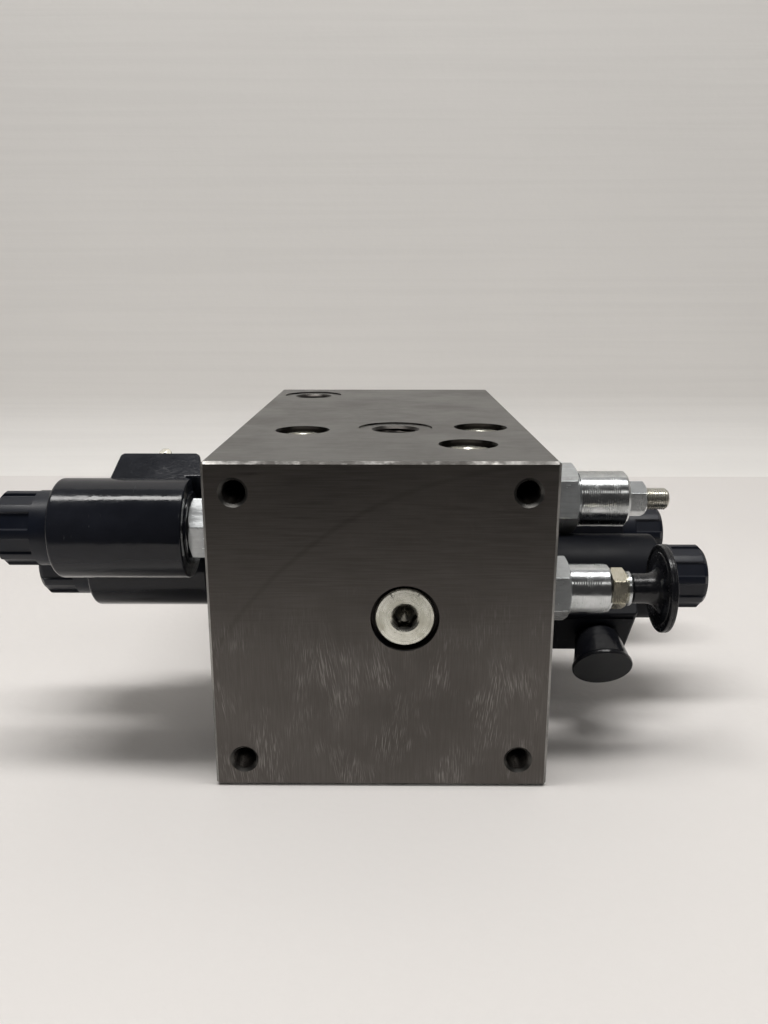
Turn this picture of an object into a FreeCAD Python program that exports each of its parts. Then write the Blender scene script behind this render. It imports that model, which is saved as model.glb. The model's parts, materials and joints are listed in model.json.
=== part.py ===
import FreeCAD, Part
import math
import os
import Sketcher

# Hydraulic manifold block with four solenoid cartridge valves, one needle valve and one
# knob-adjusted flow valve.  Millimetres.  Origin: centre of the block's underside.
# +X right, +Y from the front face to the rear, +Z up.

SIZES = {
    # block and its front-face features
    "block_width": 125.0, "block_length": 235.0, "block_height": 125.0, "block_chamfer": 1.0,
    "corner_inset": 11.0, "corner_minor_radius": 4.25, "corner_mouth_radius": 5.35,
    "corner_depth": 26.0, "corner_mouth_depth": 1.1,
    "overrun": 2.0,
    # G1/2 ports on the top face
    "port_spot_radius": 16.0, "port_spot_depth": 0.7, "port_mouth_radius": 10.48,
    "port_mouth_depth": 1.2, "port_thread_radius": 9.32, "port_thread_depth": 17.0,
    "port_drill_radius": 5.5, "port_a_x": 5.6, "port_a_y": -38.5, "port_a_floor": 54.0,
    "port_b_x": -41.0, "port_b_y": 88.5, "port_b_floor": 60.0,
    # front construction port (G3/8) and gallery
    "front_plug_x": 8.7, "front_plug_z": 67.4, "front_well_radius": 12.5,
    "front_well_depth": 4.4, "front_collar_radius": 11.0, "front_collar_height": 3.0,
    "front_thread_radius": 7.47, "front_thread_depth": 16.0, "front_socket": 8.0,
    "front_socket_depth": 6.0, "front_socket_mouth": 5.3, "gallery_radius": 5.0,
    "gallery_depth": 160.0,
    # top construction ports (G1/4)
    "top_well_radius": 11.5, "top_well_depth": 5.0, "top_collar_radius": 9.0,
    "top_collar_height": 3.0, "top_thread_radius": 5.72, "top_thread_depth": 18.0,
    "top_socket": 6.0, "top_socket_depth": 5.0, "top_socket_mouth": 4.0,
    "plug_thread_length": 9.0, "plug_seal_height": 1.0, "plug_seal_width": 1.9,
    "link_radius": 4.0,
    "top_plug_one_x": -34.0, "top_plug_one_y": -45.9, "top_plug_one_floor": 68.0,
    "top_plug_two_x": 42.5, "top_plug_two_y": -37.5, "top_plug_two_floor": 57.0,
    "top_plug_three_x": 33.3, "top_plug_three_y": -81.2, "top_plug_three_floor": 66.0,
    # small cartridge cavity and the cartridge that screws into it
    "thread_fit": 0.05, "nose_fit": 0.1,
    "small_mouth_radius": 11.3, "small_mouth_depth": 2.4, "small_thread_radius": 10.0,
    "small_thread_depth": 15.5, "small_upper_radius": 8.75, "small_upper_depth": 33.0,
    "small_lower_radius": 7.95, "small_lower_depth": 44.0,
    "small_nose": 41.0, "small_step": 32.0, "small_thread_end": 14.5,
    "small_relief_radius": 8.6, "small_relief_height": 2.6,
    "small_hex": 22.2, "solenoid_hex_height": 9.0,
    "small_bore_radius": 5.0, "small_seat_radius": 3.8, "small_seat_height": 3.0,
    "small_throat_radius": 6.5, "small_throat_depth": 3.0,
    "side_port_radius": 2.0, "small_port_depth": 20.5,
    "small_ring_depth": 28.0, "small_tip_ring_depth": 36.0, "ring_groove_width": 2.2,
    "small_ring_floor": 7.0, "small_tip_ring_floor": 6.2,
    # solenoid: armature tube, armature, poppet, spring
    "tube_radius": 8.0, "tube_bore_radius": 6.1, "tube_end": 60.5, "tube_stud_radius": 7.0,
    "tube_stud_end": 75.0, "tube_spigot_start": 4.0, "pole_face": 53.2,
    "armature_start": 16.0, "armature_end": 50.0, "running_gap": 0.05,
    "armature_well_floor": 40.0, "armature_well_radius": 3.3, "armature_vent_radius": 1.2,
    "poppet_shoulder": 12.0, "poppet_cone_start": 37.8, "poppet_cone_end": 35.4,
    "poppet_nose_radius": 3.0, "poppet_stem_radius": 2.0,
    "spring_wire": 0.45, "spring_radius": 2.5, "spring_turns": 6.0,
    # coil, connector tower, terminals
    "coil_radius": 19.0, "coil_bore_radius": 8.1, "coil_end": 59.0, "coil_round": 1.2,
    "coil_spigot_radius": 14.0, "coil_spigot_height": 0.6,
    "tower_height": 26.5, "tower_width": 28.0, "tower_foot": 13.6, "tower_inner_foot": 5.4,
    "tower_inner_top": 8.6, "tower_outer": 40.0, "tower_draft": 0.9,
    "tower_outer_long": 45.9, "tower_height_long": 30.5,
    "tower_round": 1.2, "tower_pad_height": 0.8, "tower_pad_width": 23.0,
    "blade_width": 6.3, "blade_thickness": 0.8, "blade_length": 8.0, "blade_spacing": 18.0,
    "blade_offset": 7.0, "blade_root": 2.0, "earth_blade_width": 4.8,
    "boss_radius": 5.6, "boss_length": 13.0, "boss_centre": 29.6,
    # fluted coil nut
    "nut_radius": 14.3, "nut_end": 81.0, "nut_collar": 7.6, "nut_chamfer": 2.1,
    "nut_well_end": 76.5, "nut_bore_radius": 7.05, "nut_step_gap": 0.3,
    "flute_depth": 1.3, "flute_width": 5.4, "flute_count": 9,
    # flared cap on the capped coil's connector
    "cap_neck_radius": 9.3, "cap_length": 16.9, "cap_neck_length": 10.5,
    "cap_taper": 1.6, "cap_flare_radius": 12.4, "cap_rim": 1.4, "cap_shoulder": 1.6,
    # needle valve (large cartridge)
    "large_mouth_radius": 14.9, "large_mouth_depth": 3.0, "large_thread_radius": 13.45,
    "large_thread_depth": 20.0, "large_upper_radius": 12.4, "large_upper_depth": 37.0,
    "large_lower_radius": 11.3, "large_lower_depth": 48.0,
    "large_nose": 45.5, "large_step": 36.0, "large_thread_end": 18.5,
    "large_relief_radius": 11.9, "large_relief_height": 3.2,
    "large_hex": 28.6, "large_hex_height": 25.4, "large_bore_radius": 8.0,
    "large_seat_radius": 4.0, "large_seat_height": 3.0, "large_throat_radius": 9.0,
    "large_throat_start": 14.0, "large_port_depth": 24.0, "large_port_radius": 2.8,
    "large_ring_depth": 31.0, "large_ring_floor": 10.5, "large_tip_ring_depth": 40.5,
    "large_tip_ring_floor": 9.5,
    "sleeve_radius": 12.7, "sleeve_end": 48.4, "sleeve_chamfer": 1.3,
    "screw_radius": 5.0, "screw_bore_radius": 5.05, "screw_tail": 10.0, "screw_end": 67.8,
    "screw_chamfer": 0.8, "screw_socket": 5.0, "screw_socket_depth": 6.0,
    "locknut_hex": 14.3, "needle_locknut_end": 57.4,
    "needle_cone_start": 41.4, "needle_cone_end": 35.0, "needle_tip_radius": 2.2,
    # knob-adjusted valve (small cartridge)
    "knob_hex_height": 9.0, "knob_sleeve_radius": 9.5, "knob_sleeve_end": 25.3,
    "knob_sleeve_chamfer": 1.2, "knob_locknut_end": 31.6, "knob_collar_radius": 6.7,
    "knob_collar_end": 33.7, "stem_radius": 4.0, "stem_bore_radius": 4.05,
    "stem_end": 43.0, "knob_start": 34.0, "knob_neck_radius": 5.8, "knob_disc_start": 44.4,
    "knob_end": 47.1, "knob_radius": 17.0, "knob_flare_radius": 5.0, "knob_bore_end": 43.5,
    "knob_dish_radius": 13.6, "knob_dish_depth": 0.8, "knob_sleeve_start": 1.0,
    "knob_needle_start": 39.5, "knob_needle_cone": 4.6, "knob_needle_tip": 3.1,
    "stem_tail": 6.0,
}

# Where each cartridge screws into the block: side (+1 right, -1 left), Y, Z, and the angles of
# a hexagon corner, the connector tower and a nut flute, in degrees from +Y towards +Z.
SOLENOIDS = {
    "left_front": {
        "side": -1, "y": -92.5, "z": 94.5, "hexagon": 165.0, "tower": 35.0, "flute": 35.0},
    "left_rear": {
        "side": -1, "y": -55.2, "z": 69.9, "hexagon": 165.0, "tower": 35.0, "flute": 25.0},
    "right_front": {
        "side": 1, "y": -37.0, "z": 57.2, "hexagon": 150.0, "tower": 215.0, "flute": 30.0},
    "right_rear": {
        "side": 1, "y": 27.5, "z": 59.5, "hexagon": 150.0, "tower": 35.0, "flute": 30.0},
}
CAPPED = "right_front"
NEEDLE = {"side": 1, "y": -24.5, "z": 90.1, "hexagon": 139.0, "locknut": 150.0}
KNOB = {"side": 1, "y": -92.5, "z": 70.5, "hexagon": 144.0}
ROOT3 = math.sqrt(3.0)

doc = FreeCAD.newDocument("manifold")
sheet = doc.addObject("Spreadsheet::Sheet", "Sizes")
for row, (alias, number) in enumerate(SIZES.items(), start=1):
    sheet.set(f"A{row}", alias)
    sheet.set(f"B{row}", str(number))
    sheet.setAlias(f"B{row}", alias)
doc.recompute()


class Size:
    """A number that carries the spreadsheet expression it comes from."""

    def __init__(self, value, text):
        self.value = value
        self.text = text

    def join(self, sign, other, swap=False):
        other = size(other)
        first, second = (other, self) if swap else (self, other)
        results = {
            "+": lambda a, b: a + b,
            "-": lambda a, b: a - b,
            "*": lambda a, b: a * b,
            "/": lambda a, b: a / b,
        }
        value = results[sign](first.value, second.value)
        return Size(value, f"({first.text} {sign} {second.text})")

    def __add__(self, other):
        return self.join("+", other)

    def __radd__(self, other):
        return self.join("+", other, swap=True)

    def __sub__(self, other):
        return self.join("-", other)

    def __rsub__(self, other):
        return self.join("-", other, swap=True)

    def __mul__(self, other):
        return self.join("*", other)

    def __rmul__(self, other):
        return self.join("*", other, swap=True)

    def __truediv__(self, other):
        return self.join("/", other)


def size(number):
    return number if isinstance(number, Size) else Size(float(number), repr(float(number)))


class Driving:
    """The spreadsheet's sizes as attributes."""


d = Driving()
for alias, number in SIZES.items():
    setattr(d, alias, Size(float(number), f"Sizes.{alias}"))


def bind(feature, path, amount):
    amount = size(amount)
    if "." not in path:
        setattr(feature, path, amount.value)
    feature.setExpression(path, amount.text)


TURNS = {
    "z": FreeCAD.Rotation(),
    "x": FreeCAD.Rotation(FreeCAD.Vector(0, 1, 0), 90),
    "y": FreeCAD.Rotation(FreeCAD.Vector(1, 0, 0), -90),
}


def set_base(feature, at, along="z"):
    base = FreeCAD.Vector(*(size(part).value for part in at))
    feature.Placement = FreeCAD.Placement(base, TURNS[along])
    for letter, part in zip("xyz", at):
        if isinstance(part, Size):
            feature.setExpression(f"Placement.Base.{letter}", part.text)


def cylinder(name, radius, height, at=(0, 0, 0), along="z"):
    made = doc.addObject("Part::Cylinder", name)
    bind(made, "Radius", radius)
    bind(made, "Height", height)
    set_base(made, at, along)
    return made


def cone(name, start_radius, end_radius, height, at=(0, 0, 0), along="z"):
    made = doc.addObject("Part::Cone", name)
    bind(made, "Radius1", start_radius)
    bind(made, "Radius2", end_radius)
    bind(made, "Height", height)
    set_base(made, at, along)
    return made


def torus(name, ring_radius, section_radius, at=(0, 0, 0)):
    made = doc.addObject("Part::Torus", name)
    bind(made, "Radius1", ring_radius)
    bind(made, "Radius2", section_radius)
    set_base(made, at)
    return made


def box(name, length, width, height, at=(0, 0, 0)):
    made = doc.addObject("Part::Box", name)
    bind(made, "Length", length)
    bind(made, "Width", width)
    bind(made, "Height", height)
    set_base(made, at)
    return made


def hexagon(name, across_flats, height, at=(0, 0, 0), along="z"):
    made = doc.addObject("Part::Prism", name)
    made.Polygon = 6
    bind(made, "Circumradius", across_flats / ROOT3)
    bind(made, "Height", height)
    set_base(made, at, along)
    return made


def joined(name, pieces):
    made = doc.addObject("Part::MultiFuse", name)
    made.Shapes = pieces
    made.Refine = True
    return made


def shared(name, pieces):
    made = doc.addObject("Part::MultiCommon", name)
    made.Shapes = pieces
    made.Refine = True
    return made


def minus(name, base, tools):
    made = doc.addObject("Part::Cut", name)
    made.Base = base
    made.Tool = tools[0] if len(tools) == 1 else joined(name + "_tools", tools)
    made.Refine = True
    return made


def origin_feature(body, role):
    return next(item for item in body.Origin.OriginFeatures if item.Role == role)


def outline(sketch, corners):
    """Closed outline with every corner held at its own pair of sizes."""
    points = [FreeCAD.Vector(size(a).value, size(b).value, 0) for a, b in corners]
    count = len(points)
    for index in range(count):
        segment = Part.LineSegment(points[index], points[(index + 1) % count])
        sketch.addGeometry(segment, False)
    for index in range(count):
        following = (index + 1) % count
        sketch.addConstraint(Sketcher.Constraint("Coincident", index, 2, following, 1))
    for index, corner in enumerate(corners):
        for kind, axis, amount in (("DistanceX", -2, corner[0]), ("DistanceY", -1, corner[1])):
            amount = size(amount)
            if amount.value == 0.0:
                sketch.addConstraint(Sketcher.Constraint("PointOnObject", index, 1, axis))
                continue
            held = Sketcher.Constraint(kind, -1, 1, index, 1, amount.value)
            number = sketch.addConstraint(held)
            sketch.setExpression(f"Constraints[{number}]", amount.text)


def turned(name, corners):
    """Body turned about its Z axis from (radius, height) corners."""
    body = doc.addObject("PartDesign::Body", name)
    sketch = doc.addObject("Sketcher::SketchObject", name + "_section")
    body.addObject(sketch)
    sketch.AttachmentSupport = [(origin_feature(body, "XZ_Plane"), "")]
    sketch.MapMode = "FlatFace"
    outline(sketch, corners)
    turn = doc.addObject("PartDesign::Revolution", name + "_turn")
    body.addObject(turn)
    turn.Profile = sketch
    turn.ReferenceAxis = (sketch, ["V_Axis"])
    turn.Angle = 360.0
    body.Tip = turn
    return body


def drilled(name, radius, depth_to, side, y, z, start=0):
    """Cylinder along X from the block's side face, between two depths."""
    half = d.block_width / 2
    length = depth_to - start
    x = half - depth_to if side > 0 else start - half
    return cylinder(name, radius, length, (x, y, z), "x")


def cavity(name, side, y, z, kind):
    """Stepped cartridge cavity: mouth cone, thread, upper and lower nose bores."""
    half = d.block_width / 2
    mouth_radius = getattr(d, kind + "_mouth_radius")
    mouth_depth = getattr(d, kind + "_mouth_depth")
    thread_radius = getattr(d, kind + "_thread_radius")
    if side > 0:
        mouth = cone(name + "_mouth", thread_radius, mouth_radius, mouth_depth,
                     (half - mouth_depth, y, z), "x")
    else:
        mouth = cone(name + "_mouth", mouth_radius, thread_radius, mouth_depth,
                     (-1 * half, y, z), "x")
    steps = [mouth]
    start = mouth_depth - 0.01
    for step in ("thread", "upper", "lower"):
        radius = getattr(d, f"{kind}_{step}_radius")
        depth = getattr(d, f"{kind}_{step}_depth")
        steps.append(drilled(f"{name}_{step}", radius, depth, side, y, z, start))
        start = depth - 0.01
    return steps


def build_block():
    body = doc.addObject("PartDesign::Body", "block_blank")
    sketch = doc.addObject("Sketcher::SketchObject", "block_plan")
    body.addObject(sketch)
    sketch.AttachmentSupport = [(origin_feature(body, "XY_Plane"), "")]
    sketch.MapMode = "FlatFace"
    half_x, half_y = d.block_width / 2, d.block_length / 2
    outline(sketch, [(-1 * half_x, -1 * half_y), (half_x, -1 * half_y),
                     (half_x, half_y), (-1 * half_x, half_y)])
    pad = doc.addObject("PartDesign::Pad", "block_pad")
    body.addObject(pad)
    pad.Profile = sketch
    bind(pad, "Length", d.block_height)
    body.Tip = pad
    doc.recompute()
    chamfer = doc.addObject("PartDesign::Chamfer", "block_edges")
    body.addObject(chamfer)
    chamfer.Base = (pad, [f"Edge{i + 1}" for i in range(len(pad.Shape.Edges))])
    bind(chamfer, "Size", d.block_chamfer)
    body.Tip = chamfer

    cuts = []
    front = -1 * half_y
    top = d.block_height
    far = d.corner_inset - half_x
    near = half_x - d.corner_inset
    for index, (x, z) in enumerate([(far, d.corner_inset), (near, d.corner_inset),
                                    (far, top - d.corner_inset), (near, top - d.corner_inset)]):
        cuts.append(cylinder(f"corner_hole_{index}", d.corner_minor_radius, d.corner_depth,
                             (x, front, z), "y"))
        cuts.append(cone(f"corner_mouth_{index}", d.corner_mouth_radius,
                         d.corner_minor_radius, d.corner_mouth_depth, (x, front, z), "y"))
        cuts.append(cone(f"corner_point_{index}", d.corner_minor_radius, 0,
                         d.corner_minor_radius * 0.6, (x, front + d.corner_depth, z), "y"))
    for key in ("a", "b"):
        x, y = getattr(d, f"port_{key}_x"), getattr(d, f"port_{key}_y")
        floor = getattr(d, f"port_{key}_floor")
        seat = top - d.port_spot_depth
        cuts.append(cylinder(f"port_spot_{key}", d.port_spot_radius,
                             d.port_spot_depth + d.overrun, (x, y, seat)))
        cuts.append(cone(f"port_mouth_{key}", d.port_thread_radius, d.port_mouth_radius,
                         d.port_mouth_depth, (x, y, seat - d.port_mouth_depth)))
        cuts.append(cylinder(f"port_thread_{key}", d.port_thread_radius,
                             d.port_thread_depth, (x, y, top - d.port_thread_depth)))
        cuts.append(cylinder(f"port_drill_{key}", d.port_drill_radius, top - floor,
                             (x, y, floor)))
    for key in ("one", "two", "three"):
        x, y = getattr(d, f"top_plug_{key}_x"), getattr(d, f"top_plug_{key}_y")
        floor = getattr(d, f"top_plug_{key}_floor")
        cuts.append(cylinder(f"top_well_{key}", d.top_well_radius,
                             d.top_well_depth + d.overrun, (x, y, top - d.top_well_depth)))
        cuts.append(cylinder(f"top_thread_{key}", d.top_thread_radius,
                             d.top_thread_depth, (x, y, top - d.top_thread_depth)))
        cuts.append(cylinder(f"top_link_{key}", d.link_radius, top - floor, (x, y, floor)))
    x, z = d.front_plug_x, d.front_plug_z
    cuts.append(cylinder("front_well", d.front_well_radius, d.front_well_depth + d.overrun,
                         (x, front - d.overrun, z), "y"))
    cuts.append(cylinder("front_thread", d.front_thread_radius + d.thread_fit,
                         d.front_thread_depth, (x, front, z), "y"))
    cuts.append(cylinder("gallery", d.gallery_radius, d.gallery_depth, (x, front, z), "y"))
    for name, spot in SOLENOIDS.items():
        cuts += cavity("cavity_" + name, spot["side"], spot["y"], spot["z"], "small")
    cuts += cavity("cavity_needle", NEEDLE["side"], NEEDLE["y"], NEEDLE["z"], "large")
    cuts += cavity("cavity_knob", KNOB["side"], KNOB["y"], KNOB["z"], "small")
    for name in ("left_rear", "right_front"):
        spot = SOLENOIDS[name]
        cuts.append(drilled("link_" + name, d.link_radius, d.block_width / 2 - 5,
                            spot["side"], spot["y"], spot["z"], d.small_lower_depth - 0.5))
    return minus("block", body, cuts)


def socket_plug(name, collar_radius, collar_height, thread_radius, socket, socket_depth,
                mouth_radius):
    """Hex-socket screw plug standing on its thread end, axis +Z."""
    length = d.plug_thread_length
    seat = length + collar_height
    groove = collar_radius - d.plug_seal_width - 0.4
    body = turned(name + "_turned", [
        (0, 0), (thread_radius - 1, 0), (thread_radius, 1), (thread_radius, length),
        (groove, length), (groove, length + d.plug_seal_height),
        (collar_radius - 0.4, length + d.plug_seal_height),
        (collar_radius - 0.4, length), (collar_radius, length + 0.4),
        (collar_radius, seat - 0.5), (collar_radius - 0.5, seat), (0, seat)])
    hole = hexagon(name + "_socket", socket, socket_depth + 1, (0, 0, seat - socket_depth))
    point = cone(name + "_point", 0, socket / ROOT3 * 0.86, 1.6,
                 (0, 0, seat - socket_depth - 1.6))
    mouth = cone(name + "_mouth", mouth_radius - 0.8, mouth_radius, 0.8, (0, 0, seat - 0.8))
    return minus(name, body, [hole, point, mouth])


def plug_seal(name, collar_radius):
    outer = collar_radius - 0.45
    inner = collar_radius - d.plug_seal_width - 0.35
    return turned(name, [(inner, 0), (outer, 0), (outer, d.plug_seal_height - 0.05),
                         (inner, d.plug_seal_height - 0.05)])


def facing(side, y, z, depth, angle):
    """Placement that lays local +Z along the outward X direction."""
    outward = FreeCAD.Vector(side, 0, 0)
    up = FreeCAD.Vector(0, math.cos(math.radians(angle)), math.sin(math.radians(angle)))
    turn = FreeCAD.Rotation(up, outward.cross(up), outward, "ZXY")
    x = side * (SIZES["block_width"] / 2 - depth)
    return FreeCAD.Placement(FreeCAD.Vector(x, y, z), turn)


def chamfered_hex(name, across_flats, height, start, both_ends=True):
    """Hexagon prism with its corners turned down at 30 degrees."""
    prism = hexagon(name + "_prism", across_flats, height, (0, 0, start))
    corner = across_flats / ROOT3
    face = across_flats / 2
    drop = (corner - face) * 0.577
    lower = (face - 0.3, start) if both_ends else (corner + 1, start)
    lower_rise = (corner + 0.5, start + drop + 0.46)
    end = start + height
    corners = [(0, start), lower]
    if both_ends:
        corners.append(lower_rise)
    else:
        corners.append((corner + 1, start + drop))
    corners += [(corner + 0.5, end - drop - 0.46), (face - 0.3, end), (0, end)]
    return shared(name, [prism, turned(name + "_envelope", corners)])


def cartridge(name, kind, hex_height, throat):
    """Threaded hex body with its nose; local Z = 0 is the nose tip."""
    nose = getattr(d, kind + "_nose")
    step = nose - getattr(d, kind + "_step")
    thread = nose - getattr(d, kind + "_thread_end")
    lower = getattr(d, kind + "_lower_radius") - d.nose_fit
    upper = getattr(d, kind + "_upper_radius") - d.nose_fit
    major = getattr(d, kind + "_thread_radius") - d.thread_fit
    relief = getattr(d, kind + "_relief_radius")
    relief_start = nose - getattr(d, kind + "_relief_height")
    tip_ring = nose - getattr(d, kind + "_tip_ring_depth")
    ring = nose - getattr(d, kind + "_ring_depth")
    half_groove = d.ring_groove_width / 2
    tip_floor = getattr(d, kind + "_tip_ring_floor")
    ring_floor = getattr(d, kind + "_ring_floor")
    body = turned(name + "_nose", [
        (0, 0), (lower - 0.6, 0), (lower, 0.6), (lower, tip_ring - half_groove),
        (tip_floor, tip_ring - half_groove), (tip_floor, tip_ring + half_groove),
        (lower, tip_ring + half_groove), (lower, step - 0.5), (upper, step),
        (upper, ring - half_groove), (ring_floor, ring - half_groove),
        (ring_floor, ring + half_groove), (upper, ring + half_groove),
        (upper, thread - 1), (major, thread), (major, relief_start - 0.8),
        (relief, relief_start), (relief, nose + 0.5), (0, nose + 0.5)])
    head = chamfered_hex(name + "_hex", getattr(d, kind + "_hex"), hex_height, nose)
    seat = getattr(d, kind + "_seat_height")
    bore = getattr(d, kind + "_bore_radius")
    hollow = turned(name + "_hollow", [
        (0, -1), (getattr(d, kind + "_seat_radius"), -1),
        (getattr(d, kind + "_seat_radius"), seat), (bore, seat + 1), (bore, throat),
        (getattr(d, kind + "_throat_radius"), throat),
        (getattr(d, kind + "_throat_radius"), nose + hex_height + 1),
        (0, nose + hex_height + 1)])
    port_height = nose - getattr(d, kind + "_port_depth")
    port = getattr(d, "large_port_radius" if kind == "large" else "side_port_radius")
    across = cylinder(name + "_port_x", port, upper * 2 + 2, (-1 * upper - 1, 0, port_height), "x")
    through = cylinder(name + "_port_y", port, upper * 2 + 2, (0, -1 * upper - 1, port_height), "y")
    return minus(name, joined(name + "_solid", [body, head]), [hollow, across, through])


def seals(name, kind):
    """Three O-rings: under the hexagon, on the upper nose and on the tip."""
    nose = getattr(d, kind + "_nose")
    relief = getattr(d, kind + "_relief_radius")
    section = 0.9
    top = torus(name + "_hex_ring", relief + section + 0.05, section,
                (0, 0, nose - section - 0.35))
    rings = [top]
    for key, bore in (("ring", "upper"), ("tip_ring", "lower")):
        floor = getattr(d, f"{kind}_{key}_floor")
        wall = getattr(d, f"{kind}_{bore}_radius")
        width = (wall - floor) / 2 - 0.04
        middle = (wall + floor) / 2
        depth = getattr(d, f"{kind}_{key}_depth")
        rings.append(torus(f"{name}_{key}", middle, width, (0, 0, nose - depth)))
    made = doc.addObject("Part::Compound", name)
    made.Links = rings
    return made


def armature_tube(name):
    nose = d.small_nose
    start = nose + d.tube_spigot_start
    shoulder = nose + d.solenoid_hex_height
    return turned(name, [
        (d.tube_bore_radius, start), (d.small_throat_radius - d.thread_fit, start),
        (d.small_throat_radius - d.thread_fit, shoulder), (d.tube_radius, shoulder),
        (d.tube_radius, nose + d.tube_end), (d.tube_stud_radius, nose + d.tube_end),
        (d.tube_stud_radius, nose + d.tube_stud_end - 1),
        (d.tube_stud_radius - 1, nose + d.tube_stud_end), (0, nose + d.tube_stud_end),
        (0, nose + d.pole_face), (d.tube_bore_radius, nose + d.pole_face)])


def armature(name):
    nose = d.small_nose
    radius = d.tube_bore_radius - d.running_gap
    start, end = nose + d.armature_start, nose + d.armature_end
    well = nose + d.armature_well_floor
    return turned(name, [
        (d.armature_vent_radius, start), (radius - 0.5, start), (radius, start + 0.5),
        (radius, end - 0.5), (radius - 0.5, end), (d.armature_well_radius, end),
        (d.armature_well_radius, well), (d.armature_vent_radius, well)])


def poppet(name):
    nose = d.small_nose
    radius = d.small_bore_radius - d.running_gap
    shoulder = nose - d.poppet_shoulder
    return turned(name, [
        (0, nose - d.poppet_cone_start), (d.poppet_nose_radius, nose - d.poppet_cone_start),
        (radius, nose - d.poppet_cone_end), (radius, shoulder - 0.4), (radius - 0.4, shoulder),
        (d.poppet_stem_radius, shoulder), (d.poppet_stem_radius, nose + d.armature_start),
        (0, nose + d.armature_start)])


def return_spring(name):
    low = d.small_nose + d.armature_well_floor + d.spring_wire + 0.05
    high = d.small_nose + d.pole_face - d.spring_wire - 0.05
    helix = doc.addObject("Part::Helix", name + "_path")
    bind(helix, "Radius", d.spring_radius)
    bind(helix, "Height", high - low)
    bind(helix, "Pitch", (high - low) / d.spring_turns)
    set_base(helix, (0, 0, low))
    ring = doc.addObject("Part::Circle", name + "_wire")
    bind(ring, "Radius", d.spring_wire)
    turn = FreeCAD.Rotation(FreeCAD.Vector(1, 0, 0), 90)
    ring.Placement = FreeCAD.Placement(
        FreeCAD.Vector(d.spring_radius.value, 0, low.value), turn)
    ring.setExpression("Placement.Base.x", d.spring_radius.text)
    ring.setExpression("Placement.Base.z", low.text)
    made = doc.addObject("Part::Sweep", name)
    made.Sections = [ring]
    made.Spine = helix
    made.Solid = True
    made.Frenet = True
    return made


def coil(name, height, outer_side, with_boss):
    """Encapsulated winding with a connector tower along local +X."""
    nose = d.small_nose
    start = nose + d.solenoid_hex_height
    drum = start + d.coil_spigot_height
    end = nose + d.coil_end
    radius = d.coil_radius
    shell = turned(name + "_shell", [
        (0, start), (d.coil_spigot_radius, start), (d.coil_spigot_radius, drum),
        (radius - 0.6, drum), (radius, drum + 0.6), (radius, end - d.coil_round),
        (radius - d.coil_round * 0.3, end - d.coil_round * 0.3),
        (radius - d.coil_round, end), (0, end)])
    body = doc.addObject("PartDesign::Body", name + "_tower")
    sketch = doc.addObject("Sketcher::SketchObject", name + "_tower_side")
    body.addObject(sketch)
    sketch.AttachmentSupport = [(origin_feature(body, "XZ_Plane"), "")]
    sketch.MapMode = "FlatFace"
    foot, round_off, draft = d.tower_foot, d.tower_round, d.tower_draft
    inner_foot, inner_top = nose + d.tower_inner_foot, nose + d.tower_inner_top
    outer = nose + outer_side
    outline(sketch, [
        (foot, inner_foot), (height - round_off, inner_top - 0.3),
        (height, inner_top + round_off), (height, outer - draft - round_off),
        (height - round_off, outer - draft), (foot - 3, outer + draft), (foot - 3, drum + 2),
        (foot, drum + 2)])
    pad = doc.addObject("PartDesign::Pad", name + "_tower_pad")
    body.addObject(pad)
    pad.Profile = sketch
    pad.Midplane = True
    bind(pad, "Length", d.tower_width)
    body.Tip = pad
    top_pad = box(name + "_pad", d.tower_pad_height + 1,
                  d.tower_pad_width, outer - inner_top - 5,
                  (height - 1, d.tower_pad_width / -2, inner_top + 2.5))
    parts = [shell, body, top_pad]
    if with_boss:
        parts.append(cylinder(name + "_boss", d.boss_radius, d.boss_length + 1,
                              (height - 1, 0, nose + d.boss_centre), "x"))
    bore = cylinder(name + "_bore", d.coil_bore_radius, end + 2, (0, 0, nose))
    return minus(name, joined(name + "_solid", parts), [bore])


def terminals(name):
    """Two contact blades and an earth blade standing on the tower."""
    root = d.tower_height + d.tower_pad_height
    middle = d.small_nose + (d.tower_inner_top + d.tower_outer) / 2
    blades = []
    for index, (low, y, wide) in enumerate([
            (middle - d.blade_spacing / 2, 0, False), (middle + d.blade_spacing / 2, 0, False),
            (middle, -1 * d.blade_offset, True)]):
        along_axis = d.earth_blade_width if wide else d.blade_thickness
        across = d.blade_thickness if wide else d.blade_width
        blade = box(f"{name}_{index}", d.blade_length, across, along_axis,
                    (root, size(y) - across / 2, low - along_axis / 2))
        blades.append(blade)
    made = doc.addObject("Part::Compound", name)
    made.Links = blades
    return made


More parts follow.
